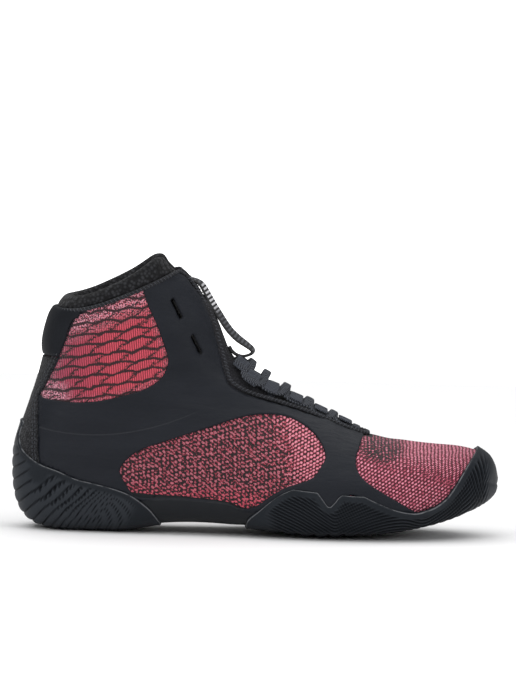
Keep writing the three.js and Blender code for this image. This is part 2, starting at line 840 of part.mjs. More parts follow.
// A webbing loop folds round the lace, with both ends at the throat's binding.
function webbingLoop(row, side) {
  const clear = LACE_THICKNESS / 2 + 3 * GAP + WEBBING_THICKNESS / 2;
  const half = narrowestHalf(row);
  const fold = laceInset + LACE_WIDTH / 2 + 4 * GAP + WEBBING_THICKNESS / 2;
  const path = [
    [bindingInner, clear],
    [fold - 0.8, clear],
    [fold, 0],
    [fold - 0.8, -clear],
    [bindingInner, -clear],
  ];
  const stations = path.map(([inset, rise], i) => {
    const here = throatPlace(row, side * (half - inset), laceRise + rise);
    const before = path[Math.max(i - 1, 0)];
    const after = path[Math.min(i + 1, path.length - 1)];
    const along = new THREE.Vector2(after[0] - before[0], after[1] - before[1]).normalize();
    const inward = new THREE.Vector3(0, -side, 0);
    const face = here.face.clone().multiplyScalar(along.x).addScaledVector(inward, -along.y);
    return { place: here.place, face };
  });
  return ribbon(stations, WEBBING_WIDTH, WEBBING_THICKNESS);
}

// The rolled binding along both edges of the throat and round its toe end
function throatBinding() {
  const inset = BINDING_DIAMETER / 2 + GAP;
  const rise = 0.5;
  const rows = THROAT.map(({ row }) => row).filter((row) => row > THROAT[1].row && row < COLLAR_ROW - 0.5);
  const side = (sign) => rows.map((row) => throatPlace(row, sign * (throatHalf(row) - 1.2 * inset), rise).place);
  const front = [-1, 0, 1].map((share) => {
    const row = THROAT[1].row - 0.05 * (1 - Math.abs(share));
    return throatPlace(row, share * (throatHalf(row) - 2 * inset), rise).place;
  });
  const path = new THREE.CatmullRomCurve3([...side(-1).reverse(), ...front, ...side(1)]);
  const circle = new THREE.Shape().absarc(0, 0, BINDING_DIAMETER / 2, 0, 2 * Math.PI);
  return solidFrom(
    new THREE.ExtrudeGeometry(circle, { extrudePath: path, steps: 3 * rows.length, curveSegments: 3, bevelEnabled: false }),
  );
}

// The lace keeper, a strap of striped elastic
function laceKeeper() {
  const aside = asideY(-2.5);
  const places = KEEPER_PATH.map(({ s, z }) => sidePoint(s, z).setY(aside));
  const stations = places.map((place, i) => {
    const before = places[Math.max(i - 1, 0)];
    const after = places[Math.min(i + 1, places.length - 1)];
    const along = after.clone().sub(before).normalize();
    const face = new THREE.Vector3(-along.z, 0, along.x).negate();
    face.applyAxisAngle(along, THREE.MathUtils.degToRad(KEEPER_PATH[i].turn));
    return { place, face };
  });
  return ribbon(stations, KEEPER_WIDTH, KEEPER_THICKNESS);
}

const PARTS = [
  ["outsole_heel", outsoleHeel, 0x232528, 0.7],
  ["outsole_forefoot", outsoleForefoot, 0x232528, 0.7],
  ["midsole", midsole, 0x26282c, 0.6],
  ["insole", insole, 0x1c1c1e, 0.9],
  ["upper", upper, 0xb8485a, 0.9],
  ["film_lateral", () => film(-1), 0x24262d, 0.5],
  ["film_medial", () => film(1), 0x24262d, 0.5],
  ["heel_strip", heelStrip, 0x2a2b2f, 0.85],
  ["heel_pad", heelPad, 0x212226, 0.75],
  ["tongue", tongue, 0x1d1d20, 0.9],
  ["collar_pad", collarPad, 0x1a1a1d, 0.95],
  ["throat_binding", throatBinding, 0x1d1e22, 0.7],
  ["laces", laces, 0x1b1b1e, 0.9],
  ["lace_keeper", laceKeeper, 0x4a4a4e, 0.8],
];
EYELET_ROWS.forEach((row, i) => {
  PARTS.push([`lace_loop_lateral_${i + 1}`, () => webbingLoop(row, -1), 0x202024, 0.9]);
  PARTS.push([`lace_loop_medial_${i + 1}`, () => webbingLoop(row, 1), 0x202024, 0.9]);
});

const shoe = new THREE.Group();
for (const [name, make, color, roughness] of PARTS) {
  const mesh = make().getMesh();
  const geometry = new THREE.BufferGeometry();
  geometry.setAttribute("position", new THREE.BufferAttribute(mesh.vertProperties, 3));
  geometry.setIndex(new THREE.BufferAttribute(mesh.triVerts, 1));
  const part = new THREE.Mesh(geometry, new THREE.MeshStandardMaterial({ color, roughness, metalness: 0 }));
  part.name = name;
  shoe.add(part);
}

export default shoe;
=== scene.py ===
"""A high-top wrestling shoe for the right foot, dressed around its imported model.

Lengths are in millimetres until a mesh is made, and in metres from there on. +X points to the toe,
+Z up and -Y to the outer side of the foot, which the camera faces. A point of the shoe's surface is
named by a row, which fans from the toe through the heel up to the collar, and a turn round the
section: 0 under the foot, 0.25 on the outer side, 0.5 over the instep, 0.75 on the inner side.
"""

import math

import bpy
import numpy as np
from mathutils import Matrix, Vector, kdtree


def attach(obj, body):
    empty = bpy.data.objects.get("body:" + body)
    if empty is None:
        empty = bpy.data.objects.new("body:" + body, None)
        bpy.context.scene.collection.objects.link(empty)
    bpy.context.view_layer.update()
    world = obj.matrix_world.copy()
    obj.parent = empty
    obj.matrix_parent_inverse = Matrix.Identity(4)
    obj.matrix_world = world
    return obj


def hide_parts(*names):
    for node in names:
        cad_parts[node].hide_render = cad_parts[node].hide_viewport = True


METRE = 0.001

# Overall sizes
LENGTH = 290.0
HEIGHT = 161.0
BALL_WIDTH = 100.0

# Thicknesses
UPPER_WALL = 1.8
FILM = 0.8
STRIP = 1.2
HEEL_PAD = 3.4
RUBBER = 2.2
ARCH_SKIN = 1.2
GAP = 0.3

# One row per section: the ends of its middle line in percent of length and height, the half widths
# and the centre in percent of the ball width, and the shape of its curve
SECTION_COLUMNS = "under_s under_z over_s over_z sole_s sole_z lateral medial centre widest low high"
SECTIONS = np.array([
    [98.9, 19.9, 98.9, 22.4, 99.0, 19.3, 4, 4, 8, 0.5, 2, 2],
    [98.1, 17.6, 98.4, 26.1, 98.5, 16.6, 12, 11, 8, 0.46, 2.2, 2],
    [96.4, 15.4, 97.2, 29.6, 96.7, 13.7, 21.5, 19.5, 7.5, 0.41, 2.5, 2.1],
    [93.4, 12.9, 95.0, 31.9, 93.6, 10.8, 30, 27, 7, 0.37, 2.8, 2.2],
    [89.3, 10.3, 91.4, 33.3, 89.3, 7.7, 37, 33.5, 6, 0.33, 3, 2.3],
    [83.8, 7.8, 86.6, 33.9, 83.8, 5.0, 43.5, 38.5, 5, 0.3, 3.2, 2.3],
    [77.2, 6.1, 80.9, 34.8, 77.2, 3.0, 47.5, 42.5, 4, 0.28, 3.4, 2.3],
    [70.0, 5.3, 74.8, 36.3, 70.0, 1.9, 49.5, 44.2, 3, 0.27, 3.5, 2.2],
    [62.4, 5.2, 69.0, 40.1, 62.4, 1.4, 49.2, 42.5, 2, 0.26, 3.6, 2.1],
    [54.5, 5.5, 63.4, 44.8, 54.5, 2.6, 46, 38.5, 1, 0.25, 3.6, 2],
    [46.6, 6.2, 58.3, 49.2, 46.6, 4.0, 41.5, 34, 0, 0.25, 3.6, 1.95],
    [38.6, 6.8, 53.8, 53.1, 38.6, 4.6, 37.3, 30.5, -1, 0.25, 3.6, 1.9],
    [31.0, 6.9, 50.0, 56.7, 31.0, 3.9, 34.7, 29.3, -1.8, 0.25, 3.5, 1.9],
    [23.4, 6.8, 47.1, 60.0, 23.4, 1.7, 33.3, 30.3, -2.3, 0.25, 3.4, 1.95],
    [15.9, 6.6, 44.8, 63.2, 15.9, 1.4, 32.7, 31.5, -2.5, 0.26, 3.2, 2],
    [8.6, 7.3, 43.3, 67.0, 8.6, 1.7, 31.5, 32, -2.5, 0.28, 3, 2.1],
    [3.6, 11.2, 42.1, 72.0, 3.9, 5.2, 30.5, 31.5, -2.5, 0.32, 2.8, 2.15],
    [1.5, 18.6, 41.2, 76.1, 1.6, 13.7, 30, 31, -2.5, 0.36, 2.7, 2.2],
    [1.2, 28.0, 40.3, 79.8, 1.2, 28.0, 29.5, 30.5, -2.5, 0.38, 2.6, 2.2],
    [2.3, 37.3, 39.4, 83.5, 2.3, 37.3, 29, 30, -2.5, 0.4, 2.5, 2.2],
    [4.0, 47.2, 38.3, 87.1, 4.0, 47.2, 28.5, 29.5, -2.5, 0.42, 2.4, 2.2],
    [5.5, 56.2, 37.0, 90.2, 5.5, 56.2, 28.3, 29.3, -2.5, 0.43, 2.3, 2.2],
    [6.6, 64.9, 35.8, 93.0, 6.6, 64.9, 28.3, 29.3, -2.5, 0.44, 2.2, 2.2],
    [7.2, 72.7, 34.7, 95.0, 7.2, 72.7, 28.5, 29.5, -2.5, 0.45, 2.2, 2.2],
    [8.6, 81.4, 33.6, 96.8, 8.6, 81.4, 29, 30, -2.5, 0.46, 2.2, 2.2],
    [10.3, 88.8, 32.4, 98.4, 10.3, 88.8, 29.5, 30.5, -2.5, 0.46, 2.2, 2.2],
    [12.2, 96.0, 30.9, 100.0, 12.2, 96.0, 30, 31, -2.5, 0.46, 2.2, 2.2],
])
LAST_ROW = len(SECTIONS) - 1
COLLAR_ROW = 24.1
COLLAR_DIP = 0.5
COLLAR_BEND_ROW = 20

# Half the throat's width in percent of the ball width, by row
THROAT = np.array([
    [7.2, 4], [7.4, 8], [7.8, 12], [8.5, 14], [9.5, 15], [10.5, 16], [12, 17], [13.2, 16.5], [14, 13],
    [15, 10], [16, 8.5], [18, 7.5], [21, 7.5], [23, 8.5], [24, 12], [26, 20],
])

# Outlines in the side view: distance from the heel and height, in millimetres
HEEL_WRAP = [
    (-5, 66.5), (2, 65), (6.5, 63.5), (4.2, 56.5), (5.4, 50), (8.6, 45.6), (17.3, 40), (28, 36.5),
    (38.7, 32.2), (49.5, 29.9), (62.5, 26.8), (72.5, 22.9), (82.6, 15.5), (88.7, 7.6), (90.4, 4.0),
    (88.7, 1.4), (84.7, 0), (60, -6), (20, -8), (-12, -8), (-14, 30),
]
FOREFOOT_WRAP = [
    (140.2, 5.5), (141.5, 10.6), (147.3, 16.3), (154.2, 22.7), (160.1, 27), (166, 29.9), (171.9, 31.4),
    (176.6, 31.2), (181.5, 29.6), (184.5, 26.2), (188.8, 20.9), (191.7, 22.8), (195.8, 27.6),
    (201.7, 30.2), (206.5, 29.1), (213.7, 25.6), (222.7, 21.6), (231.7, 18.6), (240.7, 17.3),
    (247.7, 19.0), (253.5, 21.6), (259.5, 26.7), (264.2, 33.5), (267.4, 39.3), (270.9, 45.4), (274.9, 51.5),
    (279.6, 56.7), (286, 62.8), (300, 64), (306, 30), (290, -8), (220, -8), (150, -8), (139.6, 0),
]
ANKLE_PANEL = [
    (75.4, 144.4), (61.9, 139.3), (50.1, 134.8), (40.7, 130.2), (35.5, 125), (32.6, 118.8),
    (30.4, 112.5), (25.4, 99), (20.3, 89.2), (15.8, 80.5), (24.8, 78), (39.7, 77.4), (51.6, 78.5),
    (63.4, 81.3), (78.2, 85.9), (86.9, 91.4), (91, 97.4), (92, 103.3), (90, 110.9), (84.9, 123.8),
    (79.9, 134.4), (76.7, 142.7),
]
SIDE_PANEL = [
    (65.1, 38.5), (67.1, 32.7), (70.8, 26.8), (75.7, 22.3), (94.7, 22.2), (112.6, 22.2),
    (125.7, 20.3), (136.5, 16.7), (146, 19.5), (154.2, 25.8), (163, 31.3), (171.8, 34.4),
    (179.4, 38), (184, 44.6), (186.3, 49.7), (184.3, 55.9), (180, 62), (173.9, 67), (164.8, 71.4),
    (155.9, 72.8), (145.8, 72.6), (135.1, 70.7), (120.3, 65.7), (105.6, 60.7), (90.9, 55.6),
    (79.1, 51.3), (70.3, 45.8),
]
TOE_EDGE = [
    (222, 84), (214, 71), (208, 59.2), (206.3, 54.6), (204.7, 50), (204.9, 44.5), (207.4, 39.4),
    (212.3, 34.9), (219.5, 30.3), (228.6, 25), (236.4, 20.3), (240.1, 17.8), (246, 8), (252, -10),
    (330, -10), (330, 90), (240, 100),
]
STRIP_FRONT = [
    (16.9, 30), (16.9, 40), (15.8, 47), (15.5, 58.9), (15.1, 70.5), (15.2, 79.5), (19.2, 87.3),
    (24.8, 99.5), (30.4, 112.7), (33.8, 118),
]
PAD_FRONT = [(29.0, 109.5), (31.9, 118.8), (34.8, 125.3), (39.4, 130.4), (40.6, 153)]
PAD_FOOT = 102.6
MIDSOLE_TOP = [
    (40, 21.9), (72.1, 22), (82.8, 21.5), (100.7, 22.1), (112.6, 21.6), (121.5, 21), (129.3, 19.9),
    (136.5, 16.7), (142.5, 15.7), (150, 15.4),
]
MIDSOLE_TOE = [(225, 14.5), (243, 13), (250, 15), (257, 20), (264, 27), (275, 34), (300, 36)]
SLOTS = [((93.4, 138.5), (98.5, 128.5)), ((105.6, 117.2), (110.6, 107.5))]
SLOT_WIDTH = 2.2


def lerp(a, b, share):
    """A value between two."""
    return a + (b - a) * share


def smoothstep(value, low, high):
    """0 below a value's low end and 1 above its high one, with a soft change between."""
    share = np.clip((value - low) / (high - low), 0, 1)
    return share * share * (3 - 2 * share)


# The surface of the shoe


def columns_at(row):
    """The section table at rows that may lie between two, on a Catmull-Rom curve."""
    row = np.clip(row, 0, LAST_ROW)
    start = np.clip(np.floor(row).astype(int), 0, LAST_ROW - 1)
    u = (row - start)[..., None]
    a, b, c, d = (SECTIONS[np.clip(start + k, 0, LAST_ROW)] for k in (-1, 0, 1, 2))
    square = 2 * a - 5 * b + 4 * c - d
    cube = 3 * b - a - 3 * c + d
    values = 0.5 * (2 * b + (c - a) * u + square * u**2 + cube * u**3)
    return dict(zip(SECTION_COLUMNS.split(), np.moveaxis(values, -1, 0)))


def side_point(s, z):
    """The place at a share of the length and the height, in percent."""
    x = s / 100 * LENGTH - LENGTH / 2
    return np.stack([x, np.zeros_like(x), z / 100 * HEIGHT], -1)


def last_point(row, turn, as_sole=False):
    """Places on the shoe's surface. Rows from -1 to 0 close the nose."""
    part = columns_at(row)
    turned = turn - np.floor(turn)
    lateral = turned < 0.5
    climb = np.where(lateral, turned * 2, 2 - turned * 2)
    below = climb < 0.5
    angle = math.pi * np.where(below, climb, 1 - climb)
    power = 2 / np.where(below, part["low"], part["high"])
    under = side_point(part["under_s"], part["under_z"])
    over = side_point(part["over_s"], part["over_z"])
    low_end = side_point(part["sole_s"], part["sole_z"]) if as_sole else under
    middle = lerp(under, over, part["widest"][..., None])
    end = np.where(below[..., None], low_end, over)
    point = lerp(middle, end, (np.clip(np.cos(angle), 0, 1) ** power)[..., None])
    half = np.where(lateral, -part["lateral"], part["medial"]) / 100 * BALL_WIDTH
    centre = part["centre"] / 100 * BALL_WIDTH
    point[..., 1] = centre + half * np.clip(np.sin(angle), 0, 1) ** power
    nose = np.clip(row + 1, 0, 1)[..., None]
    middle[..., 1] = centre
    return lerp(middle, point, nose)


def skin(row, turn, offset=0.0, as_sole=False):
    """A place at an offset from the surface, in millimetres."""
    row, turn, offset = np.broadcast_arrays(row * 1.0, turn * 1.0, offset * 1.0)
    on_form = np.maximum(row, 0)
    step = 0.02
    along = last_point(np.minimum(on_form + step, LAST_ROW), turn, as_sole)
    along = along - last_point(np.maximum(on_form - step, 0), turn, as_sole)
    around = last_point(on_form, turn + step / 4, as_sole) - last_point(on_form, turn - step / 4, as_sole)
    normal = np.cross(around, along)
    normal /= np.linalg.norm(normal, axis=-1, keepdims=True) + 1e-12
    nose = np.clip(row + 1, 0, 1)[..., None]
    normal = lerp(np.array([1.0, 0, 0.05]), normal, nose)
    normal /= np.linalg.norm(normal, axis=-1, keepdims=True) + 1e-12
    return last_point(row, turn, as_sole) + normal * offset[..., None]


def throat_half(row):
    """Half the throat's width, less than 0 where there is none."""
    return np.interp(row, THROAT[:, 0], THROAT[:, 1], left=-8.0) / 100 * BALL_WIDTH


def turn_aside(row, aside):
    """The turn of the place that lies a way aside of the middle, over the foot."""
    part = columns_at(row)
    width = np.where(aside < 0, part["lateral"], part["medial"]) / 100 * BALL_WIDTH
    out = np.clip(np.abs(aside) / width, 0, 1)
    climb = 1 - np.arcsin(out ** (part["high"] / 2)) / math.pi
    return np.where(aside < 0, climb / 2, 1 - climb / 2)


def travelled(places):
    """How far along a line each of its places is."""
    return np.concatenate([[0], np.cumsum(np.linalg.norm(np.diff(places, axis=0), axis=1))])


def read_line(at, run, line):
    """The place at a distance along a line."""
    return np.array([np.interp(at, run, line[:, k]) for k in range(line.shape[1])])


# Outlines as signed distances in the side view


def smooth_line(points, closed=True, fineness=6):
    """More points on a Catmull-Rom curve through the given ones."""
    points = np.array(points, float)
    count = len(points)
    fine = []
    for i in range(count if closed else count - 1):
        pick = [(i + k) % count if closed else min(max(i + k, 0), count - 1) for k in (-1, 0, 1, 2)]
        a, b, c, d = points[pick]
        for k in range(fineness):
            u = k / fineness
            fine.append(0.5 * (2 * b + (c - a) * u + (2 * a - 5 * b + 4 * c - d) * u**2
                               + (3 * b - a - 3 * c + d) * u**3))
    if not closed:
        fine.append(points[-1])
    return np.array(fine)


def side_view(points):
    """Distance from the heel and height of places."""
    return np.stack([points[..., 0] + LENGTH / 2, points[..., 2]], -1)


def distance_to(line, spots, closed=True):
    """The distance from spots to a line and, for a closed one, less than 0 inside."""
    a = line
    b = np.roll(line, -1, axis=0)
    if not closed:
        a, b = line[:-1], line[1:]
    best = np.full(len(spots), 1e9)
    inside = np.zeros(len(spots), bool)
    for (ax, az), (bx, bz) in zip(a, b):
        run = np.array([bx - ax, bz - az])
        rel = spots - (ax, az)
        share = np.clip(rel @ run / (run @ run + 1e-12), 0, 1)
        best = np.minimum(best, np.hypot(*(rel - share[:, None] * run).T))
        if closed:
            crosses = (az > spots[:, 1]) != (bz > spots[:, 1])
            at = ax + (spots[:, 1] - az) / (bz - az + 1e-12) * (bx - ax)
            inside ^= crosses & (spots[:, 0] < at)
    return np.where(inside, -best, best) if closed else best


# Patches of the surface, cut along lines where a field is 0


def wrapped(turn):
    """A turn from -0.5 to 0.5, less than 0 on the inner side."""
    return turn - np.round(turn)


class Patch:
    """Triangles between spots of the surface, each a row and a turn."""

    def __init__(self, rows, turns, ring=False):
        count = len(turns)
        grid = np.stack(np.meshgrid(rows, turns, indexing="ij"), -1)
        self.spots = grid.reshape(-1, 2)
        i, j = np.meshgrid(np.arange(len(rows) - 1), np.arange(count if ring else count - 1), indexing="ij")
        a = (i * count + j).ravel()
        b = (i * count + (j + 1) % count).ravel()
        self.triangles = np.concatenate([
            np.stack([a, b, b + count], -1),
            np.stack([a, b + count, a + count], -1),
        ])

    @property
    def row(self):
        return self.spots[:, 0]

    @property
    def turn(self):
        return self.spots[:, 1]

    def cut(self, field, keep_both=False):
        """Cuts along the line where the field is 0 and keeps what is below it, or both sides."""
        value = field(self.row, self.turn)
        value = np.where(np.abs(value) < 1e-4, -1e-4, value)
        corner = self.triangles
        low = value[corner] < 0
        count = low.sum(1)
        kept = [corner[count == 3]]
        if keep_both:
            kept.append(corner[count == 0])
        edges, places = [], []
        pending = []
        for number in (1, 2):
            odd = low if number == 1 else ~low
            chosen = corner[count == number]
            first = np.argmax(odd[count == number], axis=1)
            rank = np.arange(len(chosen))
            a, b, c = (chosen[rank, (first + k) % 3] for k in range(3))
            pending.append((number, a, b, c))
            edges += [np.stack([a, b], -1), np.stack([a, c], -1)]
        pairs = np.sort(np.concatenate(edges), axis=1)
        if len(pairs):
            unique, index = np.unique(pairs, axis=0, return_inverse=True)
            index = index.ravel() + len(self.spots)
            a, b = unique.T
            share = (value[a] / (value[a] - value[b]))[:, None]
            start, end = self.spots[a], self.spots[b].copy()
            end[:, 1] = start[:, 1] + wrapped(end[:, 1] - start[:, 1])
            self.spots = np.concatenate([self.spots, lerp(start, end, share)])
            at = 0
            for number, a, b, c in pending:
                n = len(a)
                ab = index[at:at + n]
                ac = index[at + n:at + 2 * n]
                at += 2 * n
                tip = np.stack([a, ab, ac], -1)
                rest = np.concatenate([np.stack([ab, b, c], -1), np.stack([ab, c, ac], -1)])
                kept.append(tip if number == 1 else rest)
                if keep_both:
                    kept.append(rest if number == 1 else tip)
        self.triangles = np.concatenate(kept)
        self.tidy()

    def tidy(self):
        """Drops the spots that no triangle uses."""
        used, index = np.unique(self.triangles, return_inverse=True)
        self.spots = self.spots[used]
        self.triangles = index.reshape(-1, 3)

    def trim(self, field, steps=(0.35, 0.9)):
        """Cuts, and adds lines a little inside the cut for a rounded edge."""
        self.cut(field)
        for step in steps:
            self.cut(lambda row, turn: field(row, turn) + step, keep_both=True)

    def border(self):
        """The border's edges, each with its triangle on the left."""
        edges = np.concatenate([self.triangles[:, pair] for pair in ([0, 1], [1, 2], [2, 0])])
        key = np.sort(edges, axis=1)
        _, index, count = np.unique(key, axis=0, return_index=True, return_counts=True)
        return edges[index[count == 1]]


def edge_distance(patch, places):
    """How far each place is from the patch's border."""
    rim = np.unique(patch.border())
    tree = kdtree.KDTree(len(rim))
    for i in rim:
        tree.insert(places[i], int(i))
    tree.balance()
    return np.array([tree.find(place)[2] for place in places])


def rounded(distance, radius):
    """The height of a rounded edge, from 0 on it to 1 a radius away."""
    share = np.clip(distance / radius, 0, 1)
    return np.sqrt(1 - (1 - share) ** 2)


# Making objects


def mesh_object(name, vertices, faces, material, slot, **attributes):
    """An object from vertices in millimetres. A shell's attributes are those of its outer side."""
    mesh = bpy.data.meshes.new(name)
    mesh.from_pydata((np.asarray(vertices, float) * METRE).tolist(), [], [list(map(int, f)) for f in faces])
    for key, values in attributes.items():
        layer = mesh.attributes.new(key, "FLOAT", "POINT")
        layer.data.foreach_set("value", np.resize(values, len(vertices)).astype(np.float32))
    mesh.polygons.foreach_set("use_smooth", [True] * len(mesh.polygons))
    mesh.update()
    made = bpy.data.objects.new(name, mesh)
    bpy.context.scene.collection.objects.link(made)
    for each in material if isinstance(material, list) else [material]:
        mesh.materials.append(each)
    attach(made, "root")
    return made


def shell_of(patch, outer, inner):
    """A closed shell between two sets of places with the patch's triangles."""
    count = len(outer)
    rim = patch.border()
    walls = np.concatenate([
        np.stack([rim[:, 1], rim[:, 0], rim[:, 0] + count], -1),
        np.stack([rim[:, 1], rim[:, 0] + count, rim[:, 1] + count], -1),
    ])
    faces = np.concatenate([patch.triangles, patch.triangles[:, ::-1] + count, walls])
    return np.concatenate([outer, inner]), faces


def evenly(fine, places, count):
    """Values an even distance apart, from many values and their places."""
    run = travelled(places)
    return np.interp(np.linspace(0, run[-1], count), run, fine)


def even_rows(start, end, count, turn=0.0, as_sole=False):
    """Rows an even distance apart along one line of the surface."""
    fine = np.linspace(start, end, 800)
    return evenly(fine, last_point(fine, np.full(800, turn), as_sole), count)


def even_turns(start, end, count, row, as_sole=False):
    """Turns an even distance apart round one section."""
    fine = np.linspace(start, end, 1600)
    return evenly(fine, last_point(np.full(1600, row * 1.0), fine, as_sole), count)


def side_turns(start, end, count, row, top=90.0):
    """Turns round the sole, closest together up its sides."""
    fine = even_turns(start, end, 3000, row, True)
    heights = last_point(np.full(3000, row * 1.0), fine, True)[:, 2]
    weight = np.where(heights < 2.5, 0.4, np.where(heights < top, 1.5, 0.25))
    share = np.concatenate([[0], np.cumsum(weight[1:])])
    return np.interp(np.linspace(0, share[-1], count), share, fine)


# Materials


class Graph:
    """A material's nodes, made in short calls."""

    def __init__(self, name):
        self.material = bpy.data.materials.new(name)
        self.material.use_nodes = True
        self.tree = self.material.node_tree
        self.shader = self.tree.nodes["Principled BSDF"]

    def node(self, kind, inputs=(), **settings):
        made = self.tree.nodes.new("ShaderNode" + kind)
        for key, value in settings.items():
            setattr(made, key, value)
        for key, value in dict(inputs).items():
            self.put(made.inputs[key], value)
        return made

    def put(self, socket, value):
        """A link to a socket, or its number or colour."""
        if isinstance(value, bpy.types.NodeSocket):
            self.tree.links.new(value, socket)
        elif isinstance(value, tuple):
            socket.default_value = (*value, 1)
        else:
            socket.default_value = value

    def shade(self, **inputs):
        for key, value in inputs.items():
            self.put(self.shader.inputs[key.replace("_", " ").title().replace("Ior", "IOR")], value)
        return self.material

    def math(self, operation, a, b=0.0, c=0.0):
        made = self.node("Math", operation=operation)
        for socket, value in zip(made.inputs, (a, b, c)):
            self.put(socket, value)
        return made.outputs[0]

    def times(self, a, b, plus=0.0):
        """a times b, plus a third value."""
        return self.math("MULTIPLY_ADD", a, b, plus)

    def fade(self, value, start, end):
        """0 where a value is at its start, and 1 at its end."""
        return self.node("MapRange", {"Value": value, "From Min": start, "From Max": end}).outputs[0]

    def attribute(self, name):
        return self.node("Attribute", attribute_name=name).outputs["Fac"]

    def vector(self, x, y, z=0.0):
        return self.node("CombineXYZ", {"X": x, "Y": y, "Z": z}).outputs[0]

    def place(self):
        return self.node("NewGeometry").outputs["Position"]

    def noise(self, vector, scale, detail=2.0, rough=0.5):
        inputs = {"Vector": vector, "Scale": scale, "Detail": detail, "Roughness": rough}
        return self.node("TexNoise", inputs).outputs[0]

    def ramp(self, fac, stops):
        """Colours, or greys from 0 to 1, at stops along a value."""
        made = self.node("ValToRGB", {"Fac": fac})
        elements = made.color_ramp.elements
        while len(elements) < len(stops):
            elements.new(0.5)
        for element, (at, colour) in zip(elements, stops):
            element.position = at
            element.color = (*colour, 1) if isinstance(colour, tuple) else (colour, colour, colour, 1)
        return made.outputs[0]

    def mix(self, share, a, b, blend_type="MIX"):
        """A colour between two."""
        return self.node("Mix", {0: share, 6: a, 7: b}, data_type="RGBA", blend_type=blend_type).outputs[2]

    def between(self, share, a, b):
        """A value between two."""
        return self.node("Mix", {0: share, 2: a, 3: b}, data_type="FLOAT").outputs[0]

    def wave(self, value, pitch):
        """From 0 to 1 and back, each pitch along a value in millimetres."""
        turned = self.times(value, 2 * math.pi / pitch)
        return self.times(self.math("SINE", turned), 0.5, 0.5)

    def bump(self, height, strength, distance):
        return self.node("Bump", {"Height": height, "Strength": strength, "Distance": distance}).outputs[0]


def rubber_material():
    """Black rubber: painted shade in the grooves, a painted highlight on the lands between them, and a pale
    line along its edge that is partly wear and partly a painted highlight.
    """
    g = Graph("black_rubber")
    spot = g.place()
    grain = g.noise(spot, 1400, 3)
    haze = g.noise(spot, 45, 4)
    edge = g.attribute("edge")
    patchy = g.ramp(g.noise(spot, 220, 3), [(0.36, 0.15), (0.52, 1)])
    # A pale line a little in from the edge, broken into patches: partly wear and partly a painted highlight.
    edge_wear_and_highlight = g.times(g.ramp(edge, [(0.03, 0), (0.07, 1), (0.12, 0.7), (0.17, 0)]), patchy)
    base = g.ramp(haze, [(0.3, (0.0118, 0.0142, 0.0178)), (0.7, (0.0180, 0.0212, 0.0260))])
    groove = g.attribute("groove")
    # The lands between the grooves, where there are ridges, are painted paler: a painted highlight.
    land_highlight = g.ramp(groove, [(0.0, 1), (0.22, 0)])
    base = g.mix(g.times(land_highlight, g.attribute("ridged")), base, (0.034, 0.038, 0.045))
    # The grooves are painted nearly black: painted shade.
    base = g.mix(groove, base, (0.0010, 0.0012, 0.0017))
    colour = g.mix(g.times(edge_wear_and_highlight, 0.7), base, (0.19, 0.195, 0.205))
    roughness = g.ramp(haze, [(0.3, 0.42), (0.7, 0.55)])
    shine = g.times(groove, -0.06, 0.08)
    return g.shade(base_color=colour, roughness=roughness, normal=g.bump(grain, 0.2, 0.0003),
                   specular_ior_level=shine)


def midsole_material():
    """Smooth dark plastic."""
    g = Graph("arch_plastic")
    spot = g.place()
    haze = g.noise(spot, 60, 3)
    colour = g.ramp(haze, [(0.3, (0.0044, 0.0055, 0.0076)), (0.7, (0.0070, 0.0084, 0.0110))])
    return g.shade(base_color=colour, roughness=g.ramp(haze, [(0.3, 0.3), (0.7, 0.45)]),
                   normal=g.bump(g.noise(spot, 900, 2), 0.12, 0.0002), specular_ior_level=0.18)


# The line scored in the film: the distance from the heel and the height of its lowest place, how much
# it curves up, and where it ends
SCORE_LOW = 46.0
SCORE_HEIGHT = 58.6
SCORE_CURVE = 0.0037
SCORE_END = 112.0


def film_material():
    """Smooth film, stretched and wrinkled along the foot, with a scored line on each side."""
    g = Graph("skin_film")
    spot = g.place()
    parts = g.node("SeparateXYZ", {"Vector": spot}).outputs
    stretched = g.vector(g.times(parts[0], 0.16), parts[1], parts[2])
    wrinkle = g.noise(stretched, 420, 4, 0.6)
    broad = g.noise(stretched, 70, 3)
    grain = g.noise(spot, 2200, 2)
    colour = g.ramp(broad, [(0.3, (0.0064, 0.0079, 0.0118)), (0.7, (0.0106, 0.0124, 0.0172))])
    s = g.times(parts[0], 1 / METRE, LENGTH / 2)
    aside = g.math("SUBTRACT", s, SCORE_LOW)
    curve = g.times(g.times(aside, aside), SCORE_CURVE, SCORE_HEIGHT)
    away = g.math("ABSOLUTE", g.math("SUBTRACT", g.times(parts[2], 1 / METRE), curve))
    score = g.times(g.fade(away, 0.6, 0.15), g.fade(s, SCORE_END, SCORE_END - 16))
    colour = g.mix(g.times(score, 0.5), colour, (0.026, 0.028, 0.034))
    height = g.times(score, -1.4, g.times(grain, 0.25, g.times(wrinkle, 1.5)))
    roughness = g.ramp(wrinkle, [(0.3, 0.44), (0.7, 0.6)])
    return g.shade(base_color=colour, roughness=roughness, normal=g.bump(height, 0.5, 0.0006),
                   specular_ior_level=0.17)


KNIT_BLACK = (0.012, 0.003, 0.005)
KNIT_LIGHT = (0.90, 0.42, 0.52)


def brick(g, across, along, pitch, length):
    """How far a place is from the middle of its brick-laid stitch, across and along, from -0.5 to 0.5."""
    columns = g.math("DIVIDE", across, pitch)
    shifted = g.times(g.math("FLOOR", columns), 0.5, g.math("DIVIDE", along, length))
    return [g.math("SUBTRACT", g.math("FRACT", value), 0.5) for value in (columns, shifted)]


def oval(g, across, along, wide, long):
    """0 at a stitch's middle, and more towards its edge."""
    a, b = g.times(across, wide), g.times(along, long)
    return g.times(a, a, g.times(b, b))


def near_line(g, value, pitch, width):
    """1 on lines each pitch along a value in millimetres, 0 farther than a width from them."""
    share = g.math("FRACT", g.math("DIVIDE", value, pitch))
    away = g.times(g.math("MINIMUM", share, g.math("SUBTRACT", 1.0, share)), pitch)
    return g.fade(away, width * 1.3, width * 0.7)


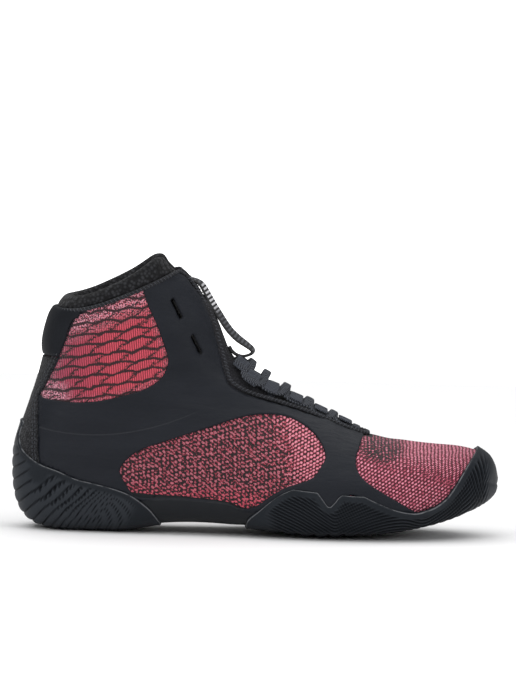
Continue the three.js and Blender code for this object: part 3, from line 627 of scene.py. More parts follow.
def knit_shade(g, colour, hollow):
    """The finish of the side's and the toe's knit, lowest where a value is highest."""
    height = g.times(hollow, -1.0)
    return g.shade(base_color=colour, roughness=0.85, normal=g.bump(height, 0.8, 0.0007),
                   sheen_weight=0.08, sheen_roughness=0.5)


# The ankle's scales: how high and how long each is
SCALE_HEIGHT = 6.3
SCALE_LENGTH = 16.0


def ankle_knit():
    """Ribbed scales between dark scalloped lines, mottled at the panel's border."""
    g = Graph("knit_ankle")
    s, z, border = g.attribute("around"), g.attribute("along"), g.attribute("border")
    flat = g.vector(s, z)
    drift = g.noise(flat, 0.09, 2)
    leaning = g.times(s, -0.14, z)
    place = g.times(z, 0.387, s)
    hump = g.math("ABSOLUTE", g.math("SINE", g.times(place, math.pi / SCALE_LENGTH)))
    wobble = g.times(g.noise(flat, 0.45, 2), 1.3, g.times(drift, 4.0))
    level = g.math("ADD", g.times(hump, -1.3, leaning), wobble)
    lines = near_line(g, level, SCALE_HEIGHT, 0.82)
    rows = g.math("DIVIDE", level, SCALE_HEIGHT)
    row = g.math("FLOOR", rows)
    within_row = g.times(g.math("FRACT", rows), SCALE_HEIGHT)
    joint = g.times(within_row, -1.25, g.times(row, 2.1, s))
    joint = g.times(g.noise(flat, 0.3, 2), 3.5, joint)
    broken = g.ramp(g.noise(flat, 0.62, 2), [(0.44, 0), (0.50, 1)])
    joints = g.times(near_line(g, joint, SCALE_LENGTH, 0.85), broken)
    fleck = g.ramp(g.noise(flat, 0.95, 2, 0.6), [(0.50, 0), (0.56, 1)])
    filled = g.times(near_line(g, joint, SCALE_LENGTH, 1.9), fleck)
    mottle = g.times(fleck, border)
    dark = g.math("MAXIMUM", g.math("MAXIMUM", lines, joints), g.math("MAXIMUM", filled, mottle))
    rib = g.wave(g.times(z, 0.10, s), 1.32)
    warm = g.fade(s, 24.0, 58.0)
    low = g.mix(warm, (0.085, 0.005, 0.017), (0.19, 0.009, 0.020))
    high = g.mix(warm, (0.40, 0.050, 0.105), (0.72, 0.082, 0.125))
    cloth = g.mix(rib, low, high)
    pale = g.ramp(g.noise(flat, 1.1, 2, 0.6), [(0.42, 0), (0.56, 1)])
    edged = g.times(g.attribute("front"), 0.55, g.times(border, 0.30))
    cloth = g.mix(g.times(pale, edged), cloth, KNIT_LIGHT)
    colour = g.mix(g.times(dark, 0.97), cloth, KNIT_BLACK)
    height = g.times(dark, -0.8, rib)
    return g.shade(base_color=colour, roughness=0.85, normal=g.bump(height, 0.8, 0.0006),
                   sheen_weight=0.1, sheen_roughness=0.5)


def side_knit():
    """Slanting strokes of light yarn with dark holes between, mixed unevenly."""
    g = Graph("knit_side")
    s, z, front = g.attribute("around"), g.attribute("along"), g.attribute("front")
    flat = g.vector(s, z)
    bent = g.times(g.noise(flat, 0.12, 2), 3.0, z)
    falling_across = g.times(bent, 0.80, g.times(s, 0.60))
    falling_along = g.times(bent, -0.60, g.times(s, 0.80))
    a, b = brick(g, falling_across, falling_along, 1.85, 3.0)
    falling = oval(g, a, b, 1.9, 1.9)
    rising_across = g.times(bent, 0.88, g.times(s, -0.47))
    rising_along = g.times(bent, 0.47, g.times(s, 0.88))
    a, b = brick(g, rising_across, rising_along, 1.9, 2.2)
    rising = oval(g, a, b, 1.9, 1.7)
    far = g.between(front, falling, rising)
    mottle = g.noise(flat, 0.5, 2, 0.65)
    uneven = g.times(front, -3.4, 5.2)
    far = g.times(g.math("SUBTRACT", mottle, 0.45), uneven, far)
    low_red = g.fade(z, 33.0, 22.0)
    far = g.times(low_red, -0.12, far)
    broad = g.noise(flat, 0.10, 2)
    light = g.mix(front, (0.44, 0.125, 0.165), (0.70, 0.24, 0.31))
    light = g.mix(low_red, light, (0.56, 0.075, 0.115))
    middle = g.mix(broad, (0.24, 0.018, 0.042), (0.36, 0.036, 0.062))
    yarn = g.mix(g.ramp(far, [(0.0, 0), (0.25, 0), (0.55, 1)]), light, middle)
    dark = g.ramp(far, [(0.62, 0), (0.86, 1)])
    colour = g.mix(dark, yarn, KNIT_BLACK)
    return knit_shade(g, colour, far)


def toe_knit():
    """Columns of small light stitches over a dark red ground, running into slanting strokes lower down."""
    g = Graph("knit_toe")
    s, around, front = g.attribute("around"), g.attribute("along"), g.attribute("front")
    height = g.times(g.node("SeparateXYZ", {"Vector": g.place()}).outputs[2], 1 / METRE)
    flat = g.vector(s, around)
    a, b = brick(g, g.times(g.noise(flat, 0.08, 2), 2.0, s), around, 2.1, 1.75)
    columns = oval(g, a, b, 2.0, 1.9)
    stroke_across = g.times(height, 0.77, g.times(s, -0.64))
    stroke_along = g.times(height, 0.64, g.times(s, 0.77))
    a, b = brick(g, stroke_across, stroke_along, 1.75, 2.3)
    strokes = oval(g, a, b, 2.1, 1.7)
    tilted = g.times(s, 0.32, height)
    slant = g.fade(tilted, 125.0, 113.0)
    far = g.between(slant, columns, strokes)
    mottle = g.noise(flat, 0.5, 2, 0.6)
    far = g.times(g.math("SUBTRACT", mottle, 0.5), 1.6, far)
    patchy = g.ramp(g.noise(flat, 0.6, 2), [(0.40, 0), (0.55, 1)])
    far = g.times(g.times(front, patchy), 0.7, far)
    top = g.fade(height, 42.0, 58.0)
    far = g.times(top, -0.2, far)
    reds = [(0.0, (0.74, 0.27, 0.36)), (0.30, (0.42, 0.070, 0.118)), (0.60, (0.20, 0.012, 0.035))]
    light = g.ramp(far, reds)
    ground = g.mix(front, (0.068, 0.003, 0.012), KNIT_BLACK)
    dark = g.ramp(far, [(0.42, 0), (0.72, 1)])
    colour = g.mix(dark, light, ground)
    return knit_shade(g, colour, far)


def pad_material():
    """Dark grained leather."""
    g = Graph("pad_leather")
    spot = g.place()
    grain = g.noise(spot, 900, 3)
    colour = g.ramp(g.noise(spot, 70, 3), [(0.3, (0.0070, 0.0080, 0.0105)), (0.7, (0.0105, 0.0118, 0.0150))])
    return g.shade(base_color=colour, roughness=0.62, normal=g.bump(grain, 0.3, 0.0004),
                   specular_ior_level=0.11)


def cloth_material(name, dark, light, pitch, strength=0.8):
    """Woven or knitted black cloth: cells a pitch wide, in millimetres."""
    g = Graph(name)
    spot = g.place()
    cells = g.node("TexVoronoi", {"Vector": spot, "Scale": 1 / METRE / pitch}).outputs["Distance"]
    broad = g.noise(spot, 60, 3)
    colour = g.mix(g.ramp(cells, [(0.15, 1), (0.6, 0)]), dark, light)
    colour = g.mix(1.0, colour, g.ramp(broad, [(0.3, 0.75), (0.7, 1)]), "MULTIPLY")
    return g.shade(base_color=colour, roughness=0.85, sheen_weight=0.05, sheen_roughness=0.6,
                   specular_ior_level=0.2, normal=g.bump(g.times(cells, -1), strength, 0.0006))


def strand_material(name, colour):
    """Yarn for stitches, with fine fibres."""
    g = Graph(name)
    spot = g.place()
    fibre = g.noise(spot, 2600, 3)
    tone = g.ramp(fibre, [(0.3, tuple(0.7 * c for c in colour)), (0.7, colour)])
    return g.shade(base_color=tone, roughness=0.8, sheen_weight=0.05, specular_ior_level=0.2,
                   normal=g.bump(fibre, 0.9, 0.0004))


def lace_material(name, dark, light, pitch):
    """Flat woven tape: chevrons along the run."""
    g = Graph(name)
    run, side = g.attribute("run"), g.attribute("across")
    chevron = g.wave(g.times(g.math("ABSOLUTE", side), 1.1, run), pitch)
    fine = g.wave(side, 0.8)
    weave = g.times(chevron, g.times(fine, 0.5, 0.5))
    colour = g.mix(weave, dark, light)
    return g.shade(base_color=colour, roughness=0.85, sheen_weight=0.04,
                   specular_ior_level=0.15, normal=g.bump(weave, 0.8, 0.0005))


def elastic_material(name):
    """Striped elastic: dark and pale bands across the run, brightest along one stretch of it."""
    g = Graph(name)
    run, side = g.attribute("run"), g.attribute("across")
    band = g.wave(run, 2.6)
    bright = g.ramp(band, [(0.42, (0.008, 0.008, 0.009)), (0.6, (0.50, 0.50, 0.52))])
    dull = g.ramp(band, [(0.42, (0.006, 0.006, 0.008)), (0.6, (0.055, 0.058, 0.066))])
    start = g.fade(run, 12.5, 14.0)
    stop = g.fade(run, 33.0, 28.0)
    pale = g.times(start, stop)
    edge = g.ramp(g.math("DIVIDE", g.math("ABSOLUTE", side), KEEPER_WIDTH / 2), [(0.72, 1), (0.8, 0)])
    colour = g.mix(edge, (0.01, 0.01, 0.011), g.mix(pale, dull, bright))
    return g.shade(base_color=colour, roughness=0.75, normal=g.bump(band, 0.6, 0.0006))


# Fields that patches are cut by, in millimetres, less than 0 on the side that is kept


def seen_at(row, turn, offset=0.0, as_sole=False):
    """Distance from the heel and height of a place of the surface."""
    return side_view(skin(row, turn, offset, as_sole))


def within(outline, offset, as_sole=False):
    """The field that keeps what is seen inside an outline."""
    line = smooth_line(outline)
    return lambda row, turn: distance_to(line, seen_at(row, turn, offset, as_sole))


def outside(outline, clear, offset):
    """The field that keeps what is seen outside an outline, clear of it."""
    inner = within(outline, offset)
    return lambda row, turn: clear - inner(row, turn)


def behind(line, offset, clear=0.0):
    """What lies nearer to the heel than a line that climbs."""
    fine = smooth_line(line, closed=False)

    def field(row, turn):
        spots = seen_at(row, turn, offset)
        gap = distance_to(fine, spots, closed=False)
        side = spots[:, 0] - np.interp(spots[:, 1], fine[:, 1], fine[:, 0])
        return np.where(side < 0, -gap, gap) + clear

    return field


# About how long a row is over the foot, and a field's value far from the line it is cut along
ROW_LENGTH = 18
FAR = 30.0


def over_foot(turn):
    """Whether a place lies over the foot rather than beside or under it."""
    turned = turn - np.floor(turn)
    return (turned > 0.27) & (turned < 0.73)


def off_throat(row, turn):
    """The field that keeps what lies beside the throat and in front of it."""
    aside = np.abs(last_point(row, turn)[:, 1] - columns_at(row)["centre"] / 100 * BALL_WIDTH)
    past_toe_end = (row - THROAT[0, 0]) * ROW_LENGTH
    return np.where(over_foot(turn), np.minimum(throat_half(row) - aside, past_toe_end), -FAR)


def collar_row(turn):
    """The row of the collar's edge, lower at the sides than in front and behind."""
    return COLLAR_ROW - COLLAR_DIP * np.sin(2 * math.pi * turn) ** 2


def bend_to_collar(row, turn):
    """Rows of the ankle drawn down so that the last one is the collar's edge."""
    share = np.maximum(row - COLLAR_BEND_ROW, 0) / (LAST_ROW - COLLAR_BEND_ROW)
    return np.where(row < COLLAR_BEND_ROW, row, lerp(COLLAR_BEND_ROW, collar_row(turn), share))


def segment_distance(spots, start, end):
    """The distance from spots to a straight line between two places."""
    run = np.subtract(end, start)
    share = np.clip((spots - start) @ run / (run @ run), 0, 1)
    return np.hypot(*(spots - start - share[:, None] * run).T)


def slot_field(slot):
    """The field that keeps what lies outside a slot."""
    return lambda row, turn: SLOT_WIDTH / 2 - segment_distance(seen_at(row, turn), *slot)


# Soft creases and swells of the whole upper: ends in the side view, width and rise, in millimetres
CREASES = [
    ((207, 62), (214, 40), 4.0, -0.5),
    ((216, 62), (224, 36), 4.5, 0.35),
    ((196, 66), (199, 44), 5.0, -0.45),
    ((188, 70), (193, 52), 4.5, 0.4),
    ((150, 88), (176, 74), 5.0, -0.5),
    ((118, 92), (142, 84), 6.0, 0.45),
    ((104, 84), (136, 74), 5.0, -0.5),
    ((112, 100), (132, 92), 4.0, -0.45),
    ((60, 72), (104, 80), 6.0, -0.4),
    ((24, 66), (64, 62), 7.0, 0.4),
    ((80, 60), (96, 64), 6.0, 0.35),
    ((92, 122), (112, 98), 6.0, 0.5),
    ((86, 112), (96, 92), 5.0, -0.35),
    ((232, 52), (244, 28), 6.0, 0.3),
]


def soft_rise(row, turn):
    """How far the upper's creases and swells stand out or in."""
    spots = seen_at(row, turn)
    rise = 0.12 * np.sin(spots[:, 0] / 7.3 + 1.1 * np.sin(spots[:, 1] / 11)) * np.sin(spots[:, 1] / 8.7)
    for start, end, width, height in CREASES:
        rise += height * np.exp(-((segment_distance(spots, start, end) / width) ** 2))
    return rise


# Distances along and round the surface, for the knit


def surface_tables():
    """How far along the rows and round the turns the places of a grid over the surface are."""
    rows = np.linspace(0, LAST_ROW, 261)
    turns = np.linspace(0, 1, 101)
    grid = last_point(*np.meshgrid(rows, turns, indexing="ij"))
    along = np.stack([travelled(grid[:, j]) for j in range(len(turns))], 1)
    around = np.stack([travelled(line) for line in grid])
    return along, around


def read_table(table, row, turn):
    """A table's value between its places."""
    i = np.clip(row / LAST_ROW, 0, 1) * (table.shape[0] - 1)
    j = (turn - np.floor(turn)) * (table.shape[1] - 1)
    i0 = np.clip(np.floor(i).astype(int), 0, table.shape[0] - 2)
    j0 = np.clip(np.floor(j).astype(int), 0, table.shape[1] - 2)
    u, v = i - i0, j - j0
    low = lerp(table[i0, j0], table[i0, j0 + 1], v)
    high = lerp(table[i0 + 1, j0], table[i0 + 1, j0 + 1], v)
    return lerp(low, high, u)


# The upper and its layers


# Where the ankle's knit ends below and the side's ends in front, and the bare rim round the openings
ANKLE_FOOT = 74
TOE_START = 196
RIM = 1.7


def upper_shell(materials):
    """The knit boot, open at collar, throat and slots, and what its materials read."""
    nose = [-1, -0.75, -0.5, -0.25]
    rows = np.concatenate([nose, even_rows(0, 15, 96, 0.25), even_rows(15, LAST_ROW, 84, 0.0)[1:]])
    turns = even_turns(0, 1, 151, 13)[:-1]
    patch = Patch(rows, turns, ring=True)
    patch.spots[:, 0] = bend_to_collar(patch.row, patch.turn)
    patch.trim(off_throat, steps=(0.6,))
    for slot in SLOTS:
        patch.cut(slot_field(slot))
    row, turn = patch.row, patch.turn
    rise = soft_rise(row, turn)
    outer = skin(row, turn, rise)
    away = edge_distance(patch, outer)
    outer = skin(row, turn, rise - 0.7 * (1 - rounded(away, 1.2)))
    inner = skin(row, turn, rise * 0.5 - UPPER_WALL)
    vertices, faces = shell_of(patch, outer, inner)
    spots = side_view(outer)
    s, z = spots.T
    ankle = z > ANKLE_FOOT
    side = (~ankle) & (s < TOE_START)
    along = np.where(ankle | side, z, read_table(around_table, row, turn))
    in_ankle = -distance_to(smooth_line(ANKLE_PANEL), spots)
    above_slant = z - 0.42 * (s - 20) - 104
    lower_left = 1 - smoothstep(np.hypot(s - 22, (z - 80) * 1.2), 8, 15)
    panel_edge = 0.8 * (1 - smoothstep(in_ankle, 1, 4.5))
    border = np.maximum(np.maximum(panel_edge, smoothstep(above_slant, -1, 7)), lower_left)
    ankle_front = np.maximum(smoothstep(above_slant, 7, 11), lower_left)
    side_front = smoothstep(s + 0.3 * (z - 50), 152, 172)
    toe_front = 1 - smoothstep(np.hypot((s - 220) / 14, (z - 55) / 9), 0.5, 1.3)
    front = np.where(side, side_front, np.where(ankle, ankle_front, toe_front))
    made = mesh_object("upper_knit", vertices, faces, materials, "knit",
                       along=along, around=s, border=border, front=front)
    centres = np.array([side_view(vertices[f]).mean(0) for f in faces])
    index = np.where(centres[:, 1] > ANKLE_FOOT, 0, np.where(centres[:, 0] < TOE_START, 1, 2))
    lining = len(materials) - 1
    index[len(patch.triangles):] = lining
    rim = away[patch.triangles].min(1) < RIM
    index[:len(patch.triangles)][rim] = lining
    made.data.polygons.foreach_set("material_index", index.astype(np.int32))
    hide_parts("upper")


def below_midsole_top(row, turn, height):
    """The field that cuts the film off a little below the midsole's top."""
    spots = seen_at(row, turn, height)
    return np.interp(spots[:, 0], *np.array(MIDSOLE_TOP).T) - 2.5 - spots[:, 1]


def film_shell(name, node, material, start, end):
    """One side's film, with its windows, between the rubbers and the heel strip."""
    rows = np.concatenate([even_rows(5.0, 15, 102, 0.25), even_rows(15, LAST_ROW, 84, 0.05)[1:]])
    patch = Patch(rows, even_turns(start, end, 84, 13))
    patch.spots[:, 0] = bend_to_collar(patch.row, patch.turn)
    patch.cut(off_throat)
    for slot in SLOTS:
        patch.cut(slot_field(slot))
    height = GAP + FILM
    patch.cut(outside(HEEL_WRAP, -1.0, height))
    patch.cut(outside(FOREFOOT_WRAP, -2.2, height))
    patch.cut(lambda row, turn: below_midsole_top(row, turn, height))
    back = behind(STRIP_FRONT[:-1] + PAD_FRONT[1:], height)
    patch.cut(lambda row, turn: 0.2 - back(row, turn))
    for panel in (ANKLE_PANEL, SIDE_PANEL, TOE_EDGE):
        patch.trim(outside(panel, 0, height), steps=(0.4, 1.0))
    row, turn = patch.row, patch.turn
    rise = soft_rise(row, turn)
    flat = skin(row, turn, height)
    away = edge_distance(patch, flat)
    outer = skin(row, turn, rise + GAP + FILM * rounded(away, 0.9))
    inner = skin(row, turn, rise + GAP * 0.5)
    vertices, faces = shell_of(patch, outer, inner)
    made = mesh_object(name, vertices, faces, material, "skin_film")
    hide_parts(node)


def heel_strip_shell(material):
    """The woven strip up the back, from the rubber to the pad."""
    patch = Patch(even_rows(15, 22.5, 110, 0.0), even_turns(-0.3, 0.3, 90, 19))
    patch.cut(outside(HEEL_WRAP, -1.0, GAP + STRIP))
    patch.cut(lambda row, turn: seen_at(row, turn)[:, 1] - PAD_FOOT)
    patch.trim(behind(STRIP_FRONT, GAP + STRIP, -0.1))
    row, turn = patch.row, patch.turn
    away = edge_distance(patch, skin(row, turn))
    pebble = 0.1 * np.sin(read_table(along_table, row, turn) * 2.4)
    pebble *= np.sin(read_table(around_table, row, turn) * 2.1)
    outer = skin(row, turn, GAP + STRIP * rounded(away, 1.0) + pebble)
    inner = skin(row, turn, GAP * 0.5)
    vertices, faces = shell_of(patch, outer, inner)
    made = mesh_object("heel_strip_weave", vertices, faces, material, "heel_textile")
    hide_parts("heel_strip")


def heel_pad_shell(material):
    """The tab behind the ankle, which swells to its middle."""
    patch = Patch(even_rows(19.5, LAST_ROW, 90, 0.0), even_turns(-0.3, 0.3, 90, 23))
    patch.spots[:, 0] = bend_to_collar(patch.row, patch.turn)
    patch.cut(lambda row, turn: PAD_FOOT + 0.3 - seen_at(row, turn)[:, 1])
    patch.trim(behind(STRIP_FRONT[:-1] + PAD_FRONT[1:], GAP + FILM, 0.1))
    row, turn = patch.row, patch.turn
    away = edge_distance(patch, skin(row, turn))
    swell = np.clip(1 - (turn / 0.2) ** 2, 0, 1) * smoothstep(row, 20.2, 22.4) * rounded(away, 9)
    outer = skin(row, turn, GAP + FILM * rounded(away, 1.0) + (HEEL_PAD - FILM) * swell)
    inner = skin(row, turn, GAP * 0.5)
    vertices, faces = shell_of(patch, outer, inner)
    made = mesh_object("heel_pad_skin", vertices, faces, material, "pad_leather")
    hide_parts("heel_pad")


# Sole


def arch_swell(row):
    """How far the arch stands out between the two rubbers."""
    return ARCH_SKIN * smoothstep(row, 9.3, 10.3) * (1 - smoothstep(row, 12.2, 13.2))


def above_midsole_top(row, turn):
    """The field that cuts the midsole along its top."""
    spots = seen_at(row, turn, arch_swell(row), True)
    top = [(-10, MIDSOLE_TOP[0][1])] + MIDSOLE_TOP + MIDSOLE_TOE
    return spots[:, 1] - np.interp(spots[:, 0], *np.array(top).T)


def midsole_shell(material):
    """The midsole's skin, seen at the arch."""
    patch = Patch(even_rows(0.4, 19.0, 150, 0.0, True), even_turns(-0.34, 0.34, 100, 11, True))
    patch.trim(above_midsole_top, steps=(0.5, 1.2))
    row, turn = patch.row, patch.turn
    swell = arch_swell(row)
    flat = skin(row, turn, swell, True)
    away = edge_distance(patch, flat)
    outer = skin(row, turn, swell - 0.8 * (1 - rounded(away, 1.2)), True)
    inner = skin(row, turn, GAP * 0.7)
    vertices, faces = shell_of(patch, outer, inner)
    made = mesh_object("midsole_arch", vertices, faces, material, "arch_plastic")
    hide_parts("midsole")


def wrap_shell(patch, away, relief, inside):
    """The shell of a rubber wrap, with a bead along its rounded edge, that ends at the floor."""
    bead = 0.35 * np.exp(-(((away - 1.1) / 0.6) ** 2))
    thick = RUBBER * (0.35 + 0.65 * rounded(away, 1.6))
    outer = skin(patch.row, patch.turn, GAP + thick + relief + bead, True)
    outer[:, 2] = np.maximum(outer[:, 2], 0.0)
    return shell_of(patch, outer, skin(patch.row, patch.turn, inside, True))


# The heel's ridges: the row where they start, and how far along the sole from there each rises
RIDGE_START = 12.6
RIDGE_STEPS = [0, 2.7, 3.0, 3.3, 3.7, 4.1, 4.6, 5.1, 5.6, 6.0, 6.4, 6.6, 6.8, 6.8, 6.8, 6.8]
RIDGE_PLACES = np.concatenate([np.arange(0, 30, 2.3), 31.0 + np.cumsum(RIDGE_STEPS)])


def heel_rubber(material):
    """The heel's wrap: ridges across the side that lean and widen towards the back, with small dashes."""
    rows = even_rows(11.4, 20.4, 250, 0.0, True)
    patch = Patch(rows, side_turns(-0.33, 0.33, 230, 15))
    patch.trim(within(HEEL_WRAP, GAP + RUBBER, True), steps=(0.5, 1.1, 1.9))
    row, turn = patch.row, patch.turn
    flat = skin(row, turn, GAP + RUBBER, True)
    spots = side_view(flat)
    away = edge_distance(patch, flat)
    fine = np.linspace(rows[0], rows[-1], 500)
    run = travelled(last_point(fine, 0 * fine, True))
    run -= np.interp(RIDGE_START, fine, run)
    low = last_point(row, 0 * row, True)
    climb = np.linalg.norm((flat - low)[:, [0, 2]], axis=1)
    place = np.interp(row, fine, run)
    sway = 0.75 * np.sin(climb / 3.4 + place / 7.0) * smoothstep(climb, 8, 16) * smoothstep(place, 28, 44)
    place += 0.0046 * climb**2 + sway
    index = np.clip(np.searchsorted(RIDGE_PLACES, place) - 1, 0, len(RIDGE_PLACES) - 2)
    width = RIDGE_PLACES[index + 1] - RIDGE_PLACES[index]
    phase = np.clip((place - RIDGE_PLACES[index]) / width, 0, 1)
    lobe = np.sin(np.pi * phase) ** 0.5
    dash_run = climb + 0.3 * index
    dashes = 0.5 + 0.5 * np.sin(2 * math.pi * dash_run / 1.7)
    upper_half = smoothstep(climb, 9, 15) * smoothstep(width, 2.9, 4.4)
    on_slope = smoothstep(phase, 0.5, 0.62) * (1 - smoothstep(phase, 0.88, 0.97))
    dashed = on_slope * smoothstep(dashes, 0.3, 0.7) * upper_half
    smooth_front = 1 - smoothstep(spots[:, 0] - 0.35 * spots[:, 1], 64, 72)
    corner = np.hypot(spots[:, 0] - 17, (spots[:, 1] - 36) * 0.8)
    smooth_back = smoothstep(corner, 4.0, 8.0)
    band = smoothstep(away, 2.6, 4.2)
    off_middle = 0.4 + 0.6 * smoothstep(np.abs(wrapped(turn)), 0.02, 0.10)
    under = np.maximum(off_middle, 0.75 * smoothstep(row, 14.4, 15.2))
    ends = (place > RIDGE_PLACES[0]) & (place < RIDGE_PLACES[-1])
    ridged = smooth_front * smooth_back * band * ends
    depth = np.clip(width / 4.6, 0.5, 1.0) * 1.25
    relief = ((lobe - 0.7) * depth - 0.7 * dashed) * ridged * under
    vertices, faces = wrap_shell(patch, away, relief * rounded(away, 3), GAP * 0.5 + arch_swell(row))
    # edge places the rubber's pale edge line, partly wear and partly a painted highlight; hollow paints shade
    # in the grooves and on the dashes, and ridged a painted highlight on the lands.
    edge = np.where(spots[:, 1] > 4, away, 9.0) / 4
    hollow = np.clip(1 - 1.7 * lobe + 0.9 * dashed, 0, 1) * ridged
    made = mesh_object("heel_rubber_wrap", vertices, faces, material, "black_rubber",
                       edge=edge, groove=hollow, ridged=0.6 * ridged)
    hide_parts("outsole_heel")


# The forefoot's ribs follow a wave in the side view: distance from the heel, height and rib pitch
RIB_WAVE = np.array([
    (140, 25, 2.05), (150, 22.5, 2.05), (160, 18, 2.05), (173, 11.9, 2.05), (184, 5.4, 2.05),
    (191, 1.0, 2.05), (193.3, 0.4, 2.05), (195.6, 1.3, 2.05), (203, 5.3, 2.05), (209.5, 8.4, 2.05),
    (216, 11, 2.05), (223.5, 13.2, 2.05), (231, 14.3, 2.05), (236, 14.1, 2.05), (241, 12.6, 2.05),
    (245, 11.9, 2.1),
    (249, 13.2, 2.15), (256, 18, 2.2), (262, 23, 2.3), (268, 29.5, 2.5), (274, 38, 3.2), (278, 49, 4),
    (282, 66, 5), (294, 120, 6),
])


def forefoot_rubber(material):
    """The forefoot's wrap: fine ribs along a wave on its sides, and flex grooves under it."""
    nose = [-1, -0.8, -0.6, -0.4, -0.2]
    toe = even_rows(0, 2.2, 62, 0.12, True)[:-1]
    rows = np.concatenate([nose, toe, even_rows(2.2, 9.9, 122, 0.12, True)])
    turns = side_turns(0, 1, 285, 6, 46)[:-1]
    patch = Patch(rows, turns, ring=True)
    patch.cut(lambda row, turn: np.where(over_foot(turn) & (row > 4), FAR, -FAR))
    patch.trim(within(FOREFOOT_WRAP, GAP + RUBBER, True), steps=(0.5, 1.1, 1.9))
    row, turn = patch.row, patch.turn
    flat = skin(row, turn, GAP + RUBBER, True)
    spots = side_view(flat)
    away = edge_distance(patch, flat)
    wave = smooth_line(RIB_WAVE[:, :2], closed=False)
    height = np.interp(spots[:, 0], wave[:, 0], wave[:, 1])
    pitch = np.interp(spots[:, 0], RIB_WAVE[:, 0], RIB_WAVE[:, 2])
    phase = (spots[:, 1] - height) / pitch
    rib = 0.5 + 0.5 * np.cos(2 * math.pi * phase)
    band = smoothstep(away, 3.0, 5.0)
    rear = smoothstep(spots[:, 0] + 0.3 * spots[:, 1], 154, 163)
    crown = (1 - smoothstep(spots[:, 1], 50, 56)) * (1 - smoothstep(spots[:, 0], 280, 285))
    sides = smoothstep(spots[:, 1], 3.0, 6.0) * (0.25 + 0.75 * smoothstep(np.abs(flat[:, 1] - 5), 8, 20))
    bottom = smoothstep(-spots[:, 1], -4.5, -2.5)
    groove = 0.5 + 0.5 * np.cos(2 * math.pi * spots[:, 0] / 9.0)
    grooved = smoothstep(spots[:, 0], 150, 156) * (1 - smoothstep(spots[:, 0], 246, 252))
    tread = 0.9 * smoothstep(groove, 0.72, 0.9) * bottom * grooved
    ridged = band * rear * crown * sides
    groove_depth = (1 - rib) ** 1.3 * ridged
    off_tip_line = (spots[:, 1] - 34 + 0.4 * (spots[:, 0] - 284)) / 1.3
    tip = 0.5 * np.exp(-(off_tip_line**2)) * smoothstep(spots[:, 0], 278, 284)
    vertices, faces = wrap_shell(patch, away, -0.85 * groove_depth - tread - tip, GAP * 0.5)
    # groove paints shade in the ribs' grooves, ridged a painted highlight on the lands between them, and edge
    # places the pale edge line that is partly wear and partly a painted highlight.
    made = mesh_object("forefoot_rubber_wrap", vertices, faces, material, "black_rubber",
                       edge=away / 4, groove=groove_depth, ridged=ridged)
    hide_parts("outsole_forefoot")


# Collar, tongue and closure


def lofted(rings):
    """Vertices and faces through rings of equally many points, closed at both ends."""
    count = len(rings[0])
    faces = []
    for i in range(len(rings) - 1):
        for j in range(count):
            a, b = i * count + j, i * count + (j + 1) % count
            faces.append((a, b, b + count, a + count))
    vertices = np.concatenate(rings)
    for start, flip in ((0, True), ((len(rings) - 1) * count, False)):
        hub = len(vertices)
        vertices = np.concatenate([vertices, vertices[start:start + count].mean(0)[None]])
        for j in range(count):
            a, b = start + j, start + (j + 1) % count
            faces.append((b, a, hub) if flip else (a, b, hub))
    return vertices, turned_out(vertices, faces)


def turned_out(vertices, faces):
    """The faces, all flipped if the body is inside out."""
    volume = 0.0
    for face in faces:
        a = vertices[face[0]]
        for k in range(1, len(face) - 1):
            volume += np.dot(a, np.cross(vertices[face[k]], vertices[face[k + 1]]))
    return faces if volume > 0 else [tuple(reversed(face)) for face in faces]


# The pad's section, in and up from the collar's edge, its middle, and the turn where each end lies
COLLAR_PAD_OUTLINE = [
    (0.0, 0.3), (0.2, 4.2), (1.6, 8.2), (4.0, 9.8), (6.6, 8.8), (8.3, 4.6), (8.7, -3.0), (7.3, -9.0),
    (5.6, -14.4), (4.4, -15.0), (3.4, -13.5), (3.0, -8.0), (2.8, -2.0), (2.3, 1.6),
]
COLLAR_PAD_MIDDLE = (5.0, -1.5)
COLLAR_PAD_END = 0.452


def collar_pad_roll(material):
    """The roll inside the collar's edge, taller and leaning in towards its front ends."""
    outline = smooth_line(COLLAR_PAD_OUTLINE, fineness=4)
    middle = np.array(COLLAR_PAD_MIDDLE)
    rings = []
    for turn in np.linspace(-COLLAR_PAD_END, COLLAR_PAD_END, 150):
        shrink = rounded((COLLAR_PAD_END - abs(turn)) * 260, 6.5)
        tall = 3.0 * smoothstep(abs(turn), 0.28, 0.43) - 1.3 * (1 - smoothstep(abs(turn), 0.16, 0.37))
        lean = 2.2 * smoothstep(abs(turn), 0.30, 0.43) * smoothstep(outline[:, 1], 3.0, 8.5)
        local = outline + np.stack([-lean, tall * smoothstep(outline[:, 1], -2.0, 7.0)], -1)
        local = middle + (local - middle) * (0.45 + 0.55 * shrink)
        turn = np.array([turn])
        edge_row = collar_row(turn)
        edge = skin(edge_row, turn)[0]
        out = skin(edge_row, turn, 1.0)[0] - edge
        rise = edge - skin(edge_row - 0.2, turn)[0]
        rise -= out * np.dot(rise, out)
        rise /= np.linalg.norm(rise)
        rings.append(edge - np.outer(local[:, 0], out) + np.outer(local[:, 1], rise))
    vertices, faces = lofted(rings)
    made = mesh_object("collar_pad_mesh", vertices, faces, material, "dark_mesh")
    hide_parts("collar_pad")


TONGUE_THICKNESS = 4.0
TONGUE_HALF_TOP = 12.5
TONGUE_START = 7.6


